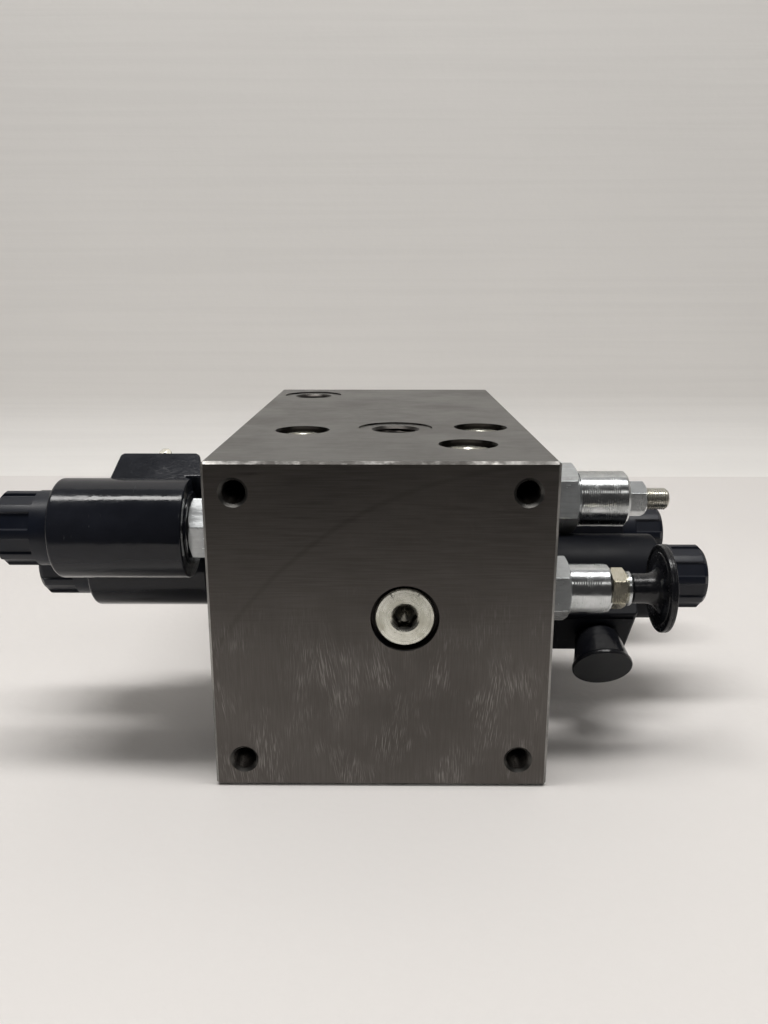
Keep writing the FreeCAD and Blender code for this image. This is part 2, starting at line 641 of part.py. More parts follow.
def coil_nut(name):
    """Moulded nut: plain collar, nine flutes, bevelled blind end."""
    nose = d.small_nose
    start = nose + d.coil_end
    end = nose + d.nut_end
    radius = d.nut_radius
    step = nose + d.tube_end + d.nut_step_gap
    body = turned(name, [
        (d.coil_bore_radius, start), (radius, start), (radius, end - d.nut_chamfer),
        (radius - d.nut_chamfer, end), (0, end), (0, nose + d.nut_well_end),
        (d.nut_bore_radius, nose + d.nut_well_end), (d.nut_bore_radius, step),
        (d.coil_bore_radius, step)])
    sketch = doc.addObject("Sketcher::SketchObject", name + "_flute_section")
    body.addObject(sketch)
    sketch.AttachmentSupport = [(origin_feature(body, "XY_Plane"), "")]
    sketch.MapMode = "FlatFace"
    flute_start = start + d.nut_collar
    sketch.setExpression("AttachmentOffset.Base.z", flute_start.text)
    floor = radius - d.flute_depth
    outline(sketch, [
        (floor, d.flute_width / -2), (radius + 2, d.flute_width / -2 - 0.6),
        (radius + 2, d.flute_width / 2 + 0.6), (floor, d.flute_width / 2)])
    flute = doc.addObject("PartDesign::Pocket", name + "_flute")
    body.addObject(flute)
    flute.Profile = sketch
    bind(flute, "Length", d.nut_end - d.coil_end)
    flute.Reversed = True
    body.Tip = flute
    doc.recompute()
    whole = body.getObject(name + "_turn").Shape.Volume
    if whole - flute.Shape.Volume < 1.0:
        flute.Reversed = False
    pattern = doc.addObject("PartDesign::PolarPattern", name + "_flutes")
    body.addObject(pattern)
    pattern.Originals = [flute]
    pattern.Axis = (origin_feature(body, "Z_Axis"), [""])
    pattern.Angle = 360.0
    pattern.Occurrences = int(d.flute_count.value)
    pattern.setExpression("Occurrences", d.flute_count.text)
    body.Tip = pattern
    return body


def flared_cap(name):
    """Push-on cap: widening neck, flared mouth closed by a flat face; local Z outward."""
    length, neck = d.cap_length, d.cap_neck_radius
    inside = d.boss_radius + d.thread_fit
    return turned(name, [
        (inside, 0), (neck - d.cap_shoulder, 0), (neck, d.cap_shoulder),
        (neck + d.cap_taper, d.cap_neck_length), (d.cap_flare_radius - 0.3, length - 2.2),
        (d.cap_flare_radius, length - d.cap_rim),
        (d.cap_flare_radius, length - 0.3), (d.cap_flare_radius - 0.3, length), (0, length),
        (0, d.boss_length + 0.4), (inside, d.boss_length + 0.4)])


def adjuster_screw(name):
    nose = d.large_nose
    low, high = nose - d.screw_tail, nose + d.screw_end
    body = turned(name + "_turned", [
        (0, low), (d.screw_radius - 0.6, low), (d.screw_radius, low + 0.6),
        (d.screw_radius, high - d.screw_chamfer), (d.screw_radius - d.screw_chamfer, high),
        (0, high)])
    hole = hexagon(name + "_socket", d.screw_socket, d.screw_socket_depth + 1,
                   (0, 0, high - d.screw_socket_depth))
    return minus(name, body, [hole])


def sleeve(name, kind, radius, start, end, chamfer, spigot_start, bore):
    """Adjuster housing screwed into the hexagon body."""
    nose = getattr(d, kind + "_nose")
    spigot = getattr(d, kind + "_throat_radius") - d.thread_fit
    return turned(name, [
        (bore, nose + spigot_start), (spigot, nose + spigot_start), (spigot, nose + start),
        (radius - 0.3, nose + start), (radius, nose + start + 0.3),
        (radius, nose + end - chamfer), (radius - chamfer, nose + end),
        (bore, nose + end)])


def locknut(name, kind, start, end, bore):
    nose = getattr(d, kind + "_nose")
    head = chamfered_hex(name + "_hex", d.locknut_hex, end - start, nose + start,
                         both_ends=False)
    hole = cylinder(name + "_bore", bore, end - start + 2, (0, 0, nose + start - 1))
    return minus(name, head, [hole])


def needle(name, kind, cone_start, cone_end, tip_radius, tail):
    """Sliding needle behind the seat, pushed by the adjuster."""
    nose = getattr(d, kind + "_nose")
    radius = getattr(d, kind + "_bore_radius") - d.running_gap
    return turned(name, [
        (0, nose - cone_start), (tip_radius, nose - cone_start), (radius, nose - cone_end),
        (radius, nose - tail), (0, nose - tail)])


def knob(name):
    """Flared hand knob with a dished outer face."""
    nose = d.small_nose
    start, disc, end = nose + d.knob_start, nose + d.knob_disc_start, nose + d.knob_end
    neck, flare = d.knob_neck_radius, d.knob_flare_radius
    bell = turned(name + "_bell", [
        (0, start), (neck, start), (neck + flare, start), (neck + flare, disc),
        (d.knob_radius - 0.4, disc), (d.knob_radius, disc + 0.4), (d.knob_radius, end - 0.7),
        (d.knob_radius - 0.7, end), (d.knob_dish_radius, end),
        (d.knob_dish_radius - 0.6, end - d.knob_dish_depth), (0, end - d.knob_dish_depth)])
    scoop = torus(name + "_scoop", neck + flare, flare, (0, 0, disc - flare))
    outer = turned(name + "_outer", [
        (neck, start - 1), (neck + flare + 1, start - 1), (neck + flare + 1, disc - flare),
        (neck, disc - flare)])
    bore = cylinder(name + "_bore", d.stem_bore_radius,
                    d.knob_bore_end - d.knob_start + 1, (0, 0, start - 1))
    return minus(name, bell, [scoop, outer, bore])


nodes = []


def keep(feature, label, placement=None):
    """Registers a finished piece under its file name."""
    feature.Label = label
    if placement is not None:
        feature.Placement = placement
    nodes.append(feature)


keep(build_block(), "manifold_block")

front_turn = FreeCAD.Rotation(FreeCAD.Vector(1, 0, 0), 90)
plug_start = SIZES["front_well_depth"] + SIZES["plug_thread_length"]
front_y = plug_start - SIZES["block_length"] / 2
front_at = FreeCAD.Vector(SIZES["front_plug_x"], front_y, SIZES["front_plug_z"])
keep(socket_plug("front_plug_part", d.front_collar_radius, d.front_collar_height,
                 d.front_thread_radius, d.front_socket, d.front_socket_depth,
                 d.front_socket_mouth),
     "front_plug", FreeCAD.Placement(front_at, front_turn))
seal_at = front_at - FreeCAD.Vector(0, SIZES["plug_thread_length"], 0)
keep(plug_seal("front_seal_part", d.front_collar_radius), "front_plug_seal",
     FreeCAD.Placement(seal_at, front_turn))

top_plugs, top_seals = [], []
for key in ("one", "two", "three"):
    where = FreeCAD.Vector(SIZES[f"top_plug_{key}_x"], SIZES[f"top_plug_{key}_y"],
                           SIZES["block_height"] - SIZES["top_well_depth"])
    drop = FreeCAD.Vector(0, 0, SIZES["plug_thread_length"])
    plug = socket_plug("top_plug_" + key, d.top_collar_radius, d.top_collar_height,
                       d.top_thread_radius - d.thread_fit, d.top_socket,
                       d.top_socket_depth, d.top_socket_mouth)
    plug.Placement = FreeCAD.Placement(where - drop, FreeCAD.Rotation())
    ring = plug_seal("top_seal_" + key, d.top_collar_radius)
    ring.Placement = FreeCAD.Placement(where, FreeCAD.Rotation())
    top_plugs.append(plug)
    top_seals.append(ring)
for name, pieces in (("top_plugs", top_plugs), ("top_plug_seals", top_seals)):
    group = doc.addObject("Part::Compound", name + "_set")
    group.Links = pieces
    keep(group, name)

small_depth = SIZES["small_nose"]
for name, spot in SOLENOIDS.items():
    hexed = facing(spot["side"], spot["y"], spot["z"], small_depth, spot["hexagon"])
    towered = facing(spot["side"], spot["y"], spot["z"], small_depth, spot["tower"])
    fluted = facing(spot["side"], spot["y"], spot["z"], small_depth, spot["flute"])
    capped = name == CAPPED
    outer_side = d.tower_outer_long if capped else d.tower_outer
    tower_height = d.tower_height_long if capped else d.tower_height
    keep(cartridge("cartridge_" + name, "small", d.solenoid_hex_height,
                   d.small_nose - d.small_throat_depth), "valve_body_" + name, hexed)
    keep(seals("seals_" + name, "small"), "valve_seals_" + name, hexed)
    keep(armature_tube("tube_" + name), "armature_tube_" + name, hexed)
    keep(armature("core_" + name), "armature_" + name, hexed)
    keep(poppet("poppet_" + name), "poppet_rod_" + name, hexed)
    keep(return_spring("spring_" + name), "return_spring_" + name, hexed)
    keep(coil("winding_" + name, tower_height, outer_side, capped), "coil_" + name, towered)
    if not capped:
        keep(terminals("blades_" + name), "terminals_" + name, towered)
    keep(coil_nut("nut_" + name), "coil_nut_" + name, fluted)
    if capped:
        out = math.radians(spot["tower"])
        reach = SIZES["tower_height_long"] + SIZES["tower_pad_height"]
        x = spot["side"] * (SIZES["block_width"] / 2 + SIZES["boss_centre"])
        start = FreeCAD.Vector(x, spot["y"] + reach * math.cos(out),
                               spot["z"] + reach * math.sin(out))
        turn = FreeCAD.Rotation(FreeCAD.Vector(0, 0, 1),
                                FreeCAD.Vector(0, math.cos(out), math.sin(out)))
        keep(flared_cap("cap_" + name), "connector_cap", FreeCAD.Placement(start, turn))

at = facing(NEEDLE["side"], NEEDLE["y"], NEEDLE["z"], SIZES["large_nose"], NEEDLE["hexagon"])
keep(cartridge("needle_cartridge", "large", d.large_hex_height,
               d.large_nose + d.large_throat_start), "needle_valve_body", at)
keep(seals("needle_seals", "large"), "needle_valve_seals", at)
keep(sleeve("needle_sleeve_part", "large", d.sleeve_radius, d.large_hex_height, d.sleeve_end,
            d.sleeve_chamfer, d.large_throat_start, d.screw_bore_radius),
     "needle_sleeve", at)
locked = facing(NEEDLE["side"], NEEDLE["y"], NEEDLE["z"], SIZES["large_nose"],
                NEEDLE["locknut"])
keep(locknut("needle_locknut_part", "large", d.sleeve_end, d.needle_locknut_end,
             d.screw_bore_radius), "needle_locknut", locked)
keep(adjuster_screw("needle_screw_part"), "needle_screw", at)
keep(needle("needle_part", "large", d.needle_cone_start, d.needle_cone_end,
            d.needle_tip_radius, d.screw_tail), "needle", at)

at = facing(KNOB["side"], KNOB["y"], KNOB["z"], small_depth, KNOB["hexagon"])
nose = d.small_nose
keep(cartridge("knob_cartridge", "small", d.knob_hex_height,
               d.small_nose - d.small_throat_depth), "knob_valve_body", at)
keep(seals("knob_seals", "small"), "knob_valve_seals", at)
keep(sleeve("knob_sleeve_part", "small", d.knob_sleeve_radius, d.knob_hex_height,
            d.knob_sleeve_end, d.knob_sleeve_chamfer, d.knob_sleeve_start, d.stem_bore_radius),
     "knob_sleeve", at)
keep(locknut("knob_locknut_part", "small", d.knob_sleeve_end, d.knob_locknut_end,
             d.stem_bore_radius), "knob_locknut", at)
collar_start, collar_end = nose + d.knob_locknut_end, nose + d.knob_collar_end
keep(turned("knob_collar_part", [
    (d.stem_bore_radius, collar_start), (d.knob_collar_radius, collar_start),
    (d.knob_collar_radius, collar_end - 0.8), (d.knob_collar_radius - 0.8, collar_end),
    (d.stem_bore_radius, collar_end)]), "knob_collar", at)
keep(turned("knob_stem_part", [
    (0, nose - d.stem_tail), (d.stem_radius - 0.5, nose - d.stem_tail),
    (d.stem_radius, nose - d.stem_tail + 0.5),
    (d.stem_radius, nose + d.stem_end - 0.5), (d.stem_radius - 0.5, nose + d.stem_end),
    (0, nose + d.stem_end)]), "knob_stem", at)
keep(needle("knob_needle_part", "small", d.knob_needle_start,
            d.knob_needle_start - d.knob_needle_cone, d.knob_needle_tip, d.stem_tail),
     "knob_needle", at)
keep(knob("knob_part"), "hand_knob", at)

doc.recompute()
for feature in doc.Objects:
    bad = [word for word in feature.State if word in ("Invalid", "Error")]
    if bad:
        raise RuntimeError(f"{feature.Name} is {bad}")
os.makedirs("parts", exist_ok=True)
for feature in nodes:
    if not feature.Shape.isValid() or feature.Shape.Volume <= 0:
        raise RuntimeError(f"{feature.Label} has no valid solid")
    feature.Shape.exportStep(f"parts/{feature.Label}.step")
    print(f"{feature.Label}: {len(feature.Shape.Solids)} solid(s), {feature.Shape.Volume:.0f} mm3")
print(f"{len(nodes)} files written")
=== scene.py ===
"""Looks of the valve manifold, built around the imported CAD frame.  Sizes are millimetres."""
import json
import math

import bmesh
import bpy
import numpy as np
from mathutils import Matrix, Vector


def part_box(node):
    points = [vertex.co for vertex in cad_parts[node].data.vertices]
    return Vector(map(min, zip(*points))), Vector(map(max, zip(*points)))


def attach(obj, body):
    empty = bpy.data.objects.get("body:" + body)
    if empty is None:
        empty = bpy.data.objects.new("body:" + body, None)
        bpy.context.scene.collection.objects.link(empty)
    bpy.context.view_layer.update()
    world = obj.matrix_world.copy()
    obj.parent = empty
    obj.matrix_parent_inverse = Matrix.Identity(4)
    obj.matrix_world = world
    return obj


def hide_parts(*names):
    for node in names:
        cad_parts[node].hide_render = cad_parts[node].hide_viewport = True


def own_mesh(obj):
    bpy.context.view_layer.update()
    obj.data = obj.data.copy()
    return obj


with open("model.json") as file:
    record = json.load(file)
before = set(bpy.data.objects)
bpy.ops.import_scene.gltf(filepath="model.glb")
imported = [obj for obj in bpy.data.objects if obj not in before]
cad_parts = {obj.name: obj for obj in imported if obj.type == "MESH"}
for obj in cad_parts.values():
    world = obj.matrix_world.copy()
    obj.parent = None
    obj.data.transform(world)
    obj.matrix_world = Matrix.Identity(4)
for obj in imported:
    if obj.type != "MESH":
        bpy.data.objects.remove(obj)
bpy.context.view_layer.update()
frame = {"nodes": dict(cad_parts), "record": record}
NODES = frame["nodes"]
RECORD = frame["record"]
BLOCK_LOW, BLOCK_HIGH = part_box("manifold_block")
MM = 0.001
SECTOR = math.radians(60)
EVEN = np.linspace(0, 2 * math.pi, 96, endpoint=False)
FINE = np.linspace(0, 2 * math.pi, 180, endpoint=False)


# ---------------------------------------------------------------- node materials
class Paint:
    """A node material with short calls for the nodes it is made of."""

    def __init__(self, name, color, **sockets):
        self.material = bpy.data.materials.new(name)
        self.material.use_nodes = True
        self.tree = self.material.node_tree
        self.shader = self.tree.nodes["Principled BSDF"]
        self.material.diffuse_color = (*color, 1)
        self.shader.inputs["Base Color"].default_value = (*color, 1)
        for key, value in sockets.items():
            self.shader.inputs[key.replace("_", " ")].default_value = value
        place = self.tree.nodes.new("ShaderNodeTexCoord")
        self.at = place.outputs["Object"]
        self.normal = place.outputs["Normal"]

    def feed(self, socket, value):
        if isinstance(value, bpy.types.NodeSocket):
            self.tree.links.new(value, socket)
        elif hasattr(value, "__len__") and len(value) == 3 and len(socket.default_value) == 4:
            socket.default_value = (*value, 1)
        else:
            socket.default_value = value

    def add(self, kind, values=(), out=0, **settings):
        node = self.tree.nodes.new("ShaderNode" + kind)
        for key, value in settings.items():
            setattr(node, key, value)
        for key, value in dict(values).items():
            self.feed(node.inputs[key], value)
        return node.outputs[out]

    def math(self, operation, first, second=0.0, clamp=False):
        return self.add("Math", {0: first, 1: second}, operation=operation, use_clamp=clamp)

    def stretch(self, factors, source=None):
        return self.add("VectorMath", {0: source or self.at, 1: factors}, operation="MULTIPLY")

    def shift(self, offset, source=None):
        return self.add("VectorMath", {0: source or self.at, 1: offset}, operation="ADD")

    def split(self, source):
        node = self.tree.nodes.new("ShaderNodeSeparateXYZ")
        self.feed(node.inputs[0], source)
        return node.outputs

    def noise(self, scale, detail=2.0, source=None, roughness=0.5):
        return self.add("TexNoise", {"Vector": source or self.at, "Scale": scale,
                                     "Detail": detail, "Roughness": roughness})

    def step(self, value, low, high, start=0.0, end=1.0):
        """Smooth change of a value between two levels."""
        return self.add("MapRange", {"Value": value, "From Min": low, "From Max": high,
                                     "To Min": start, "To Max": end},
                        interpolation_type="SMOOTHSTEP")

    def blend(self, factor, first, second):
        node = self.tree.nodes.new("ShaderNodeMix")
        node.data_type = "RGBA"
        self.feed(node.inputs["Factor"], factor)
        self.feed(node.inputs[6], first)
        self.feed(node.inputs[7], second)
        return node.outputs[2]

    def finish(self, color=None, roughness=None, height=None, depth=0.00002, strength=0.5,
               wave=None, wave_depth=0.0003, wave_strength=0.2):
        if color is not None:
            self.feed(self.shader.inputs["Base Color"], color)
        if roughness is not None:
            self.feed(self.shader.inputs["Roughness"], roughness)
        bump = None
        if wave is not None:
            bump = self.add("Bump", {"Height": wave, "Distance": wave_depth,
                                     "Strength": wave_strength})
        if height is not None:
            values = {"Height": height, "Distance": depth, "Strength": strength}
            if bump is not None:
                values["Normal"] = bump
            bump = self.add("Bump", values)
        if bump is not None:
            self.feed(self.shader.inputs["Normal"], bump)
        return self.material


def ground_steel():
    """Ground block: straight lay on every face, faint mill arcs, worn edges, rubbed marks."""
    paint = Paint("ground_steel", (0.2, 0.19, 0.18), Metallic=1.0)
    n = paint.split(paint.normal)
    facing = [paint.step(paint.math("ABSOLUTE", n[i]), 0.8, 0.92) for i in range(3)]
    side, front, top = facing
    flat = paint.math("ADD", paint.math("ADD", side, front), top, clamp=True)
    where = paint.split(paint.at)
    lays = [paint.noise(1.0, 3, paint.stretch(scale)) for scale in
            ((1, 70, 2400), (2600, 1, 75), (60, 2400, 1))]
    # the front was ground across in its upper half and rubbed upwards below
    across = paint.noise(1.0, 3, paint.stretch((55, 1, 2200)))
    lays[1] = paint.add("Mix", {0: paint.step(where[2], 0.045, 0.085), 2: lays[1], 3: across},
                        data_type="FLOAT")
    lay = 0.0
    for mask, lines in zip(facing, lays):
        lay = paint.math("ADD", paint.math("MULTIPLY", mask, lines), lay)
    blotch = paint.noise(26, 5, roughness=0.62)
    grain = paint.noise(1500, 2)
    # one pass of the face mill left an arc across the front
    arc = paint.add("VectorMath", {0: paint.stretch((1, 0, 1), paint.shift((-0.060, 0, 0.0165)))},
                    out=1, operation="LENGTH")
    arc = paint.math("ADD", arc, paint.math("MULTIPLY", paint.noise(60, 2), 0.0012))
    away = paint.math("ABSOLUTE", paint.math("SUBTRACT", arc, 0.1405))
    arc_line = paint.math("MULTIPLY", paint.step(away, 0.0, 0.0016, 1.0, 0.0), front)
    gap_x = paint.math("SUBTRACT", BLOCK_HIGH.x, paint.math("ABSOLUTE", where[0]))
    gap_y = paint.math("SUBTRACT", BLOCK_HIGH.y, paint.math("ABSOLUTE", where[1]))
    gap_z = paint.math("MINIMUM", paint.math("SUBTRACT", BLOCK_HIGH.z, where[2]), where[2])
    inner = paint.step(paint.math("MINIMUM", paint.math("MINIMUM", gap_x, gap_y), gap_z),
                       0.0009, 0.0016)
    # an outer edge is close to two faces at once, the mouth of a hole only to one
    both = paint.math("MINIMUM", paint.math("ADD", gap_x, gap_y), paint.math("ADD", gap_x, gap_z))
    both = paint.math("MINIMUM", both, paint.math("ADD", gap_y, gap_z))
    edged = paint.step(both, 0.0022, 0.0032, 1.0, 0.0)
    passes = paint.math("SINE", paint.math("MULTIPLY", arc, 2400.0))
    passes = paint.math("MULTIPLY", paint.math("MULTIPLY", passes, front), 0.5)
    marks = 0.0
    for slant, seed in ((0.03, 0.0), (-0.10, 3.1), (0.16, 7.7)):
        leaned = paint.math("ADD", where[0], paint.math("MULTIPLY", where[2], slant))
        lined = paint.add("CombineXYZ", {"X": paint.math("MULTIPLY", leaned, 2600.0),
                                         "Y": seed, "Z": paint.math("MULTIPLY", where[2], 150.0)})
        lines = paint.step(paint.noise(1.0, 2, lined), 0.50, 0.68)
        patch = paint.step(paint.noise(1.0, 2, paint.stretch(
            (62, 1, 40), paint.shift((seed, seed, 0)))), 0.52, 0.68)
        marks = paint.math("ADD", paint.math("MULTIPLY", lines, patch), marks)
    low = paint.step(where[2], 0.040, 0.085, 1.0, 0.0)
    marks = paint.math("MULTIPLY", paint.math("MULTIPLY", marks, low), front, clamp=True)
    # Painted shade: faces along Y (the front, and the rear with it) get a darker base colour than
    # the top, and the side faces a slightly darker one.
    color = paint.blend(front, (0.188, 0.186, 0.179), (0.106, 0.097, 0.090))
    color = paint.blend(paint.math("MULTIPLY", side, 0.6), color, (0.16, 0.152, 0.145))
    color = paint.blend(paint.step(lay, 0.3, 0.7, 0.0, 0.12), color, (0.31, 0.297, 0.285))
    color = paint.blend(paint.step(blotch, 0.35, 0.75, 0.0, 0.30), color, (0.085, 0.076, 0.068))
    color = paint.blend(paint.math("MULTIPLY", arc_line, 0.18), color, (0.05, 0.045, 0.04))
    color = paint.blend(paint.math("MULTIPLY", marks, 0.32), color, (0.50, 0.48, 0.46))
    worn = paint.math("MULTIPLY", paint.math("SUBTRACT", 1.0, flat, clamp=True),
                      paint.step(paint.noise(46, 5, roughness=0.7), 0.40, 0.62, 0.10, 1.0))
    worn = paint.math("MULTIPLY", worn, paint.step(where[2], 0.110, 0.1235, 0.30, 1.0))
    # Painted shade: curved surfaces away from the outer edges, the walls and mouths of holes, are
    # darkened.
    mouth = paint.math("MULTIPLY", paint.math("SUBTRACT", 1.0, flat, clamp=True),
                       paint.math("SUBTRACT", 1.0, edged))
    color = paint.blend(paint.math("MULTIPLY", mouth, 0.6), color, (0.045, 0.042, 0.038))
    worn = paint.math("MULTIPLY", worn, edged)
    color = paint.blend(worn, color, (0.66, 0.64, 0.61))
    # Painted shade: curved surfaces near the top face, the bevels and the mouths of the top holes,
    # are darkened in patches. This leaves their bright edge reflection only in places.
    rim = paint.math("MULTIPLY", paint.math("SUBTRACT", 1.0, flat, clamp=True),
                     paint.step(where[2], 0.110, 0.1235))
    patchy_edge_shade = paint.step(paint.noise(85, 4, roughness=0.65), 0.44, 0.70, 0.96, 0.45)
    color = paint.blend(paint.math("MULTIPLY", rim, patchy_edge_shade), color, (0.030, 0.028, 0.026))
    # Painted shade: points more than about 1.6 mm in from every outer face, down in holes and
    # wells, take a near-black colour.
    color = paint.blend(inner, color, (0.035, 0.032, 0.03))
    rough = paint.step(lay, 0.2, 0.8, 0.36, 0.50)
    rough = paint.math("ADD", rough, paint.step(blotch, 0.3, 0.8, -0.04, 0.10))
    height = paint.math("ADD", lay, paint.math("MULTIPLY", grain, 0.3))
    height = paint.math("ADD", height, paint.math("MULTIPLY", passes, 0.12))
    height = paint.math("SUBTRACT", height, paint.math("MULTIPLY", marks, 0.8))
    return paint.finish(color, rough, height, 0.000010, 0.40)


def plated(name, tint, dull, rough=(0.14, 0.30), lines=2600.0, mottle=160.0, well=None):
    """Turned and zinc plated: fine tool lines round the axis and a cloudy plating film.

    A well is the radius and mouth height of a socket; inside it the colour is darkened with
    painted shade."""
    paint = Paint(name, tint, Metallic=1.0)
    x, y, z = paint.split(paint.at)
    radius = paint.add("VectorMath", {0: paint.stretch((1, 1, 0))}, out=1, operation="LENGTH")
    end = paint.step(paint.math("ABSOLUTE", paint.split(paint.normal)[2]), 0.6, 0.8)
    along = paint.add("Mix", {0: end, 2: z, 3: radius}, data_type="FLOAT")
    row = paint.add("CombineXYZ", {"X": paint.math("MULTIPLY", along, lines)})
    tool = paint.noise(1.0, 3, row)
    cloud = paint.noise(mottle, 4, roughness=0.6)
    speck = paint.step(paint.noise(900, 2), 0.60, 0.72)
    color = paint.blend(paint.step(cloud, 0.35, 0.70), tint, dull)
    color = paint.blend(paint.step(tool, 0.3, 0.7, 0.0, 0.25), color,
                        tuple(0.55 * c for c in dull))
    color = paint.blend(paint.math("MULTIPLY", speck, 0.12), color, (0.2, 0.19, 0.17))
    if well:
        # Painted shade inside the socket.
        socket_shade = paint.math("MULTIPLY", paint.step(radius, well[0] - 0.0002, well[0], 1.0, 0.0),
                            paint.step(z, well[1] - 0.0007, well[1] - 0.0002, 0.82, 0.0))
        color = paint.blend(socket_shade, color, (0.085, 0.078, 0.065))
    level = paint.math("ADD", paint.step(cloud, 0.3, 0.75, rough[0], rough[1]),
                       paint.step(tool, 0.3, 0.7, -0.03, 0.06))
    return paint.finish(color, level, tool, 0.000012, 0.45, wave=cloud,
                        wave_depth=0.00003, wave_strength=0.25)


def drawn(name, tint, dull, rough=(0.20, 0.36), metal=1.0):
    """Hexagon bar, plated: faint lines along the axis, cloudy film."""
    paint = Paint(name, tint, Metallic=metal)
    lay = paint.noise(1.0, 3, paint.stretch((900, 900, 60)))
    cloud = paint.noise(140, 4, roughness=0.6)
    color = paint.blend(paint.step(cloud, 0.35, 0.7), tint, dull)
    color = paint.blend(paint.step(lay, 0.4, 0.75, 0.0, 0.22), color,
                        tuple(0.5 * c for c in dull))
    level = paint.math("ADD", paint.step(cloud, 0.3, 0.75, *rough),
                       paint.step(lay, 0.3, 0.7, -0.03, 0.05))
    return paint.finish(color, level, lay, 0.000015, 0.35)


def moulded(name, color, rough, grain=1800.0, grain_depth=0.00001, wave=None, patchy=0.0,
            worn=(0.10, 0.10, 0.105), **sockets):
    """Moulded black plastic or rubber: surface waviness, patchy gloss, grain and scuffs."""
    paint = Paint(name, color, **sockets)
    cloud = paint.noise(38, 4, roughness=0.6)
    fine = paint.noise(grain, 3)
    scuff_at = paint.stretch((60, 260, 900))
    scuff = paint.math("MULTIPLY", paint.step(paint.noise(1.0, 3, scuff_at), 0.62, 0.76),
                       paint.step(paint.noise(70, 2), 0.5, 0.7))
    shade = paint.blend(paint.step(cloud, 0.35, 0.75, 0.0, 0.6), color,
                        tuple(1.9 * c + 0.002 for c in color))
    shade = paint.blend(paint.math("MULTIPLY", scuff, 0.35), shade, worn)
    level = paint.step(cloud, 0.3, 0.75, *rough)
    level = paint.math("ADD", level, paint.math("MULTIPLY", scuff, 0.18))
    level = paint.math("ADD", level, paint.step(fine, 0.3, 0.7, -0.02, 0.04))
    height = fine
    if patchy:
        rough_patch = paint.step(paint.noise(48, 2), 0.46, 0.62, 0.15, 1.0)
        ripple = paint.noise(patchy, 2)
        height = paint.math("ADD", paint.math("MULTIPLY", fine, 0.15),
                            paint.math("MULTIPLY", ripple, rough_patch))
    waviness = paint.noise(wave, 2) if wave else None
    return paint.finish(shade, level, height, grain_depth, 0.5, wave=waviness,
                        wave_depth=0.0005, wave_strength=0.35)


def ringed_plastic():
    """Glossy black knob with the fine concentric lines of its mould."""
    paint = Paint("knob_black", (0.006, 0.0062, 0.008), Specular_IOR_Level=0.42)
    radius = paint.add("VectorMath", {0: paint.stretch((1, 1, 0))}, out=1, operation="LENGTH")
    rings = paint.noise(1.0, 2, paint.add("CombineXYZ",
                                          {"X": paint.math("MULTIPLY", radius, 2600.0)}))
    cloud = paint.noise(70, 4, roughness=0.65)
    dust = paint.step(paint.noise(520, 3), 0.60, 0.74)
    color = paint.blend(paint.step(cloud, 0.4, 0.75, 0.0, 0.6), (0.005, 0.0055, 0.0075),
                        (0.014, 0.014, 0.015))
    color = paint.blend(paint.math("MULTIPLY", dust, 0.10), color, (0.20, 0.19, 0.17))
    level = paint.math("ADD", paint.step(cloud, 0.3, 0.75, 0.14, 0.32),
                       paint.math("MULTIPLY", dust, 0.2))
    return paint.finish(color, level, rings, 0.00002, 0.35, wave=paint.noise(240, 4),
                        wave_depth=0.0005, wave_strength=0.6)


def cap_rubber():
    """Soft black cap: shiny neck, dull flat mouth, mould bloom."""
    paint = Paint("cap_black", (0.02, 0.02, 0.022), Specular_IOR_Level=0.36)
    face = paint.step(paint.math("ABSOLUTE", paint.split(paint.normal)[2]), 0.75, 0.9)
    cloud = paint.noise(90, 4, roughness=0.6)
    grain = paint.noise(1600, 3)
    color = paint.blend(face, (0.006, 0.0065, 0.009), (0.011, 0.012, 0.014))
    color = paint.blend(paint.step(cloud, 0.4, 0.75, 0.0, 0.4), color, (0.024, 0.025, 0.027))
    level = paint.math("ADD", paint.step(face, 0.0, 1.0, 0.22, 0.62),
                       paint.step(cloud, 0.3, 0.8, -0.04, 0.08))
    return paint.finish(color, level, grain, 0.000015, 0.4, wave=paint.noise(130, 2),
                        wave_depth=0.0004, wave_strength=0.25)


STEEL = ground_steel()
ZINC = plated("zinc_turned", (0.66, 0.68, 0.69), (0.49, 0.51, 0.51))
ZINC_HEX = drawn("zinc_hex", (0.55, 0.57, 0.575), (0.41, 0.425, 0.43), (0.15, 0.26), 0.62)
YELLOW = plated("zinc_yellow", (0.78, 0.74, 0.62), (0.60, 0.56, 0.43), (0.16, 0.30))
PLUG = plated("plug_zinc", (0.76, 0.76, 0.69), (0.55, 0.54, 0.45), (0.20, 0.36), 2000.0, 90.0,
              well=(0.0049, 0.012))
BRIGHT = plated("bright_steel", (0.62, 0.62, 0.62), (0.50, 0.50, 0.49), (0.16, 0.28))
GLOSS = moulded("coil_gloss", (0.0085, 0.0096, 0.0135), (0.08, 0.20), grain=1500.0,
                grain_depth=0.00015, wave=58.0, patchy=560.0, Specular_IOR_Level=0.31)
# Rougher copy of the coil plastic for the right coils, with a darker base colour: the darker
# colour is painted shade that keeps the ceiling highlight off them.
MATT_SHADED = moulded("coil_matt_shaded", (0.0036, 0.0042, 0.0066), (0.40, 0.56), grain=1500.0,
               grain_depth=0.00004, wave=58.0, Specular_IOR_Level=0.13)
SATIN = moulded("nut_satin", (0.0030, 0.0048, 0.0110), (0.34, 0.50), grain_depth=0.00002,
                Specular_IOR_Level=0.35)
KNOB = ringed_plastic()
CAP = cap_rubber()
RUBBER = moulded("ring_rubber", (0.012, 0.012, 0.012), (0.45, 0.62))
TINNED = drawn("tinned_blade", (0.40, 0.385, 0.34), (0.30, 0.285, 0.24), (0.24, 0.40))

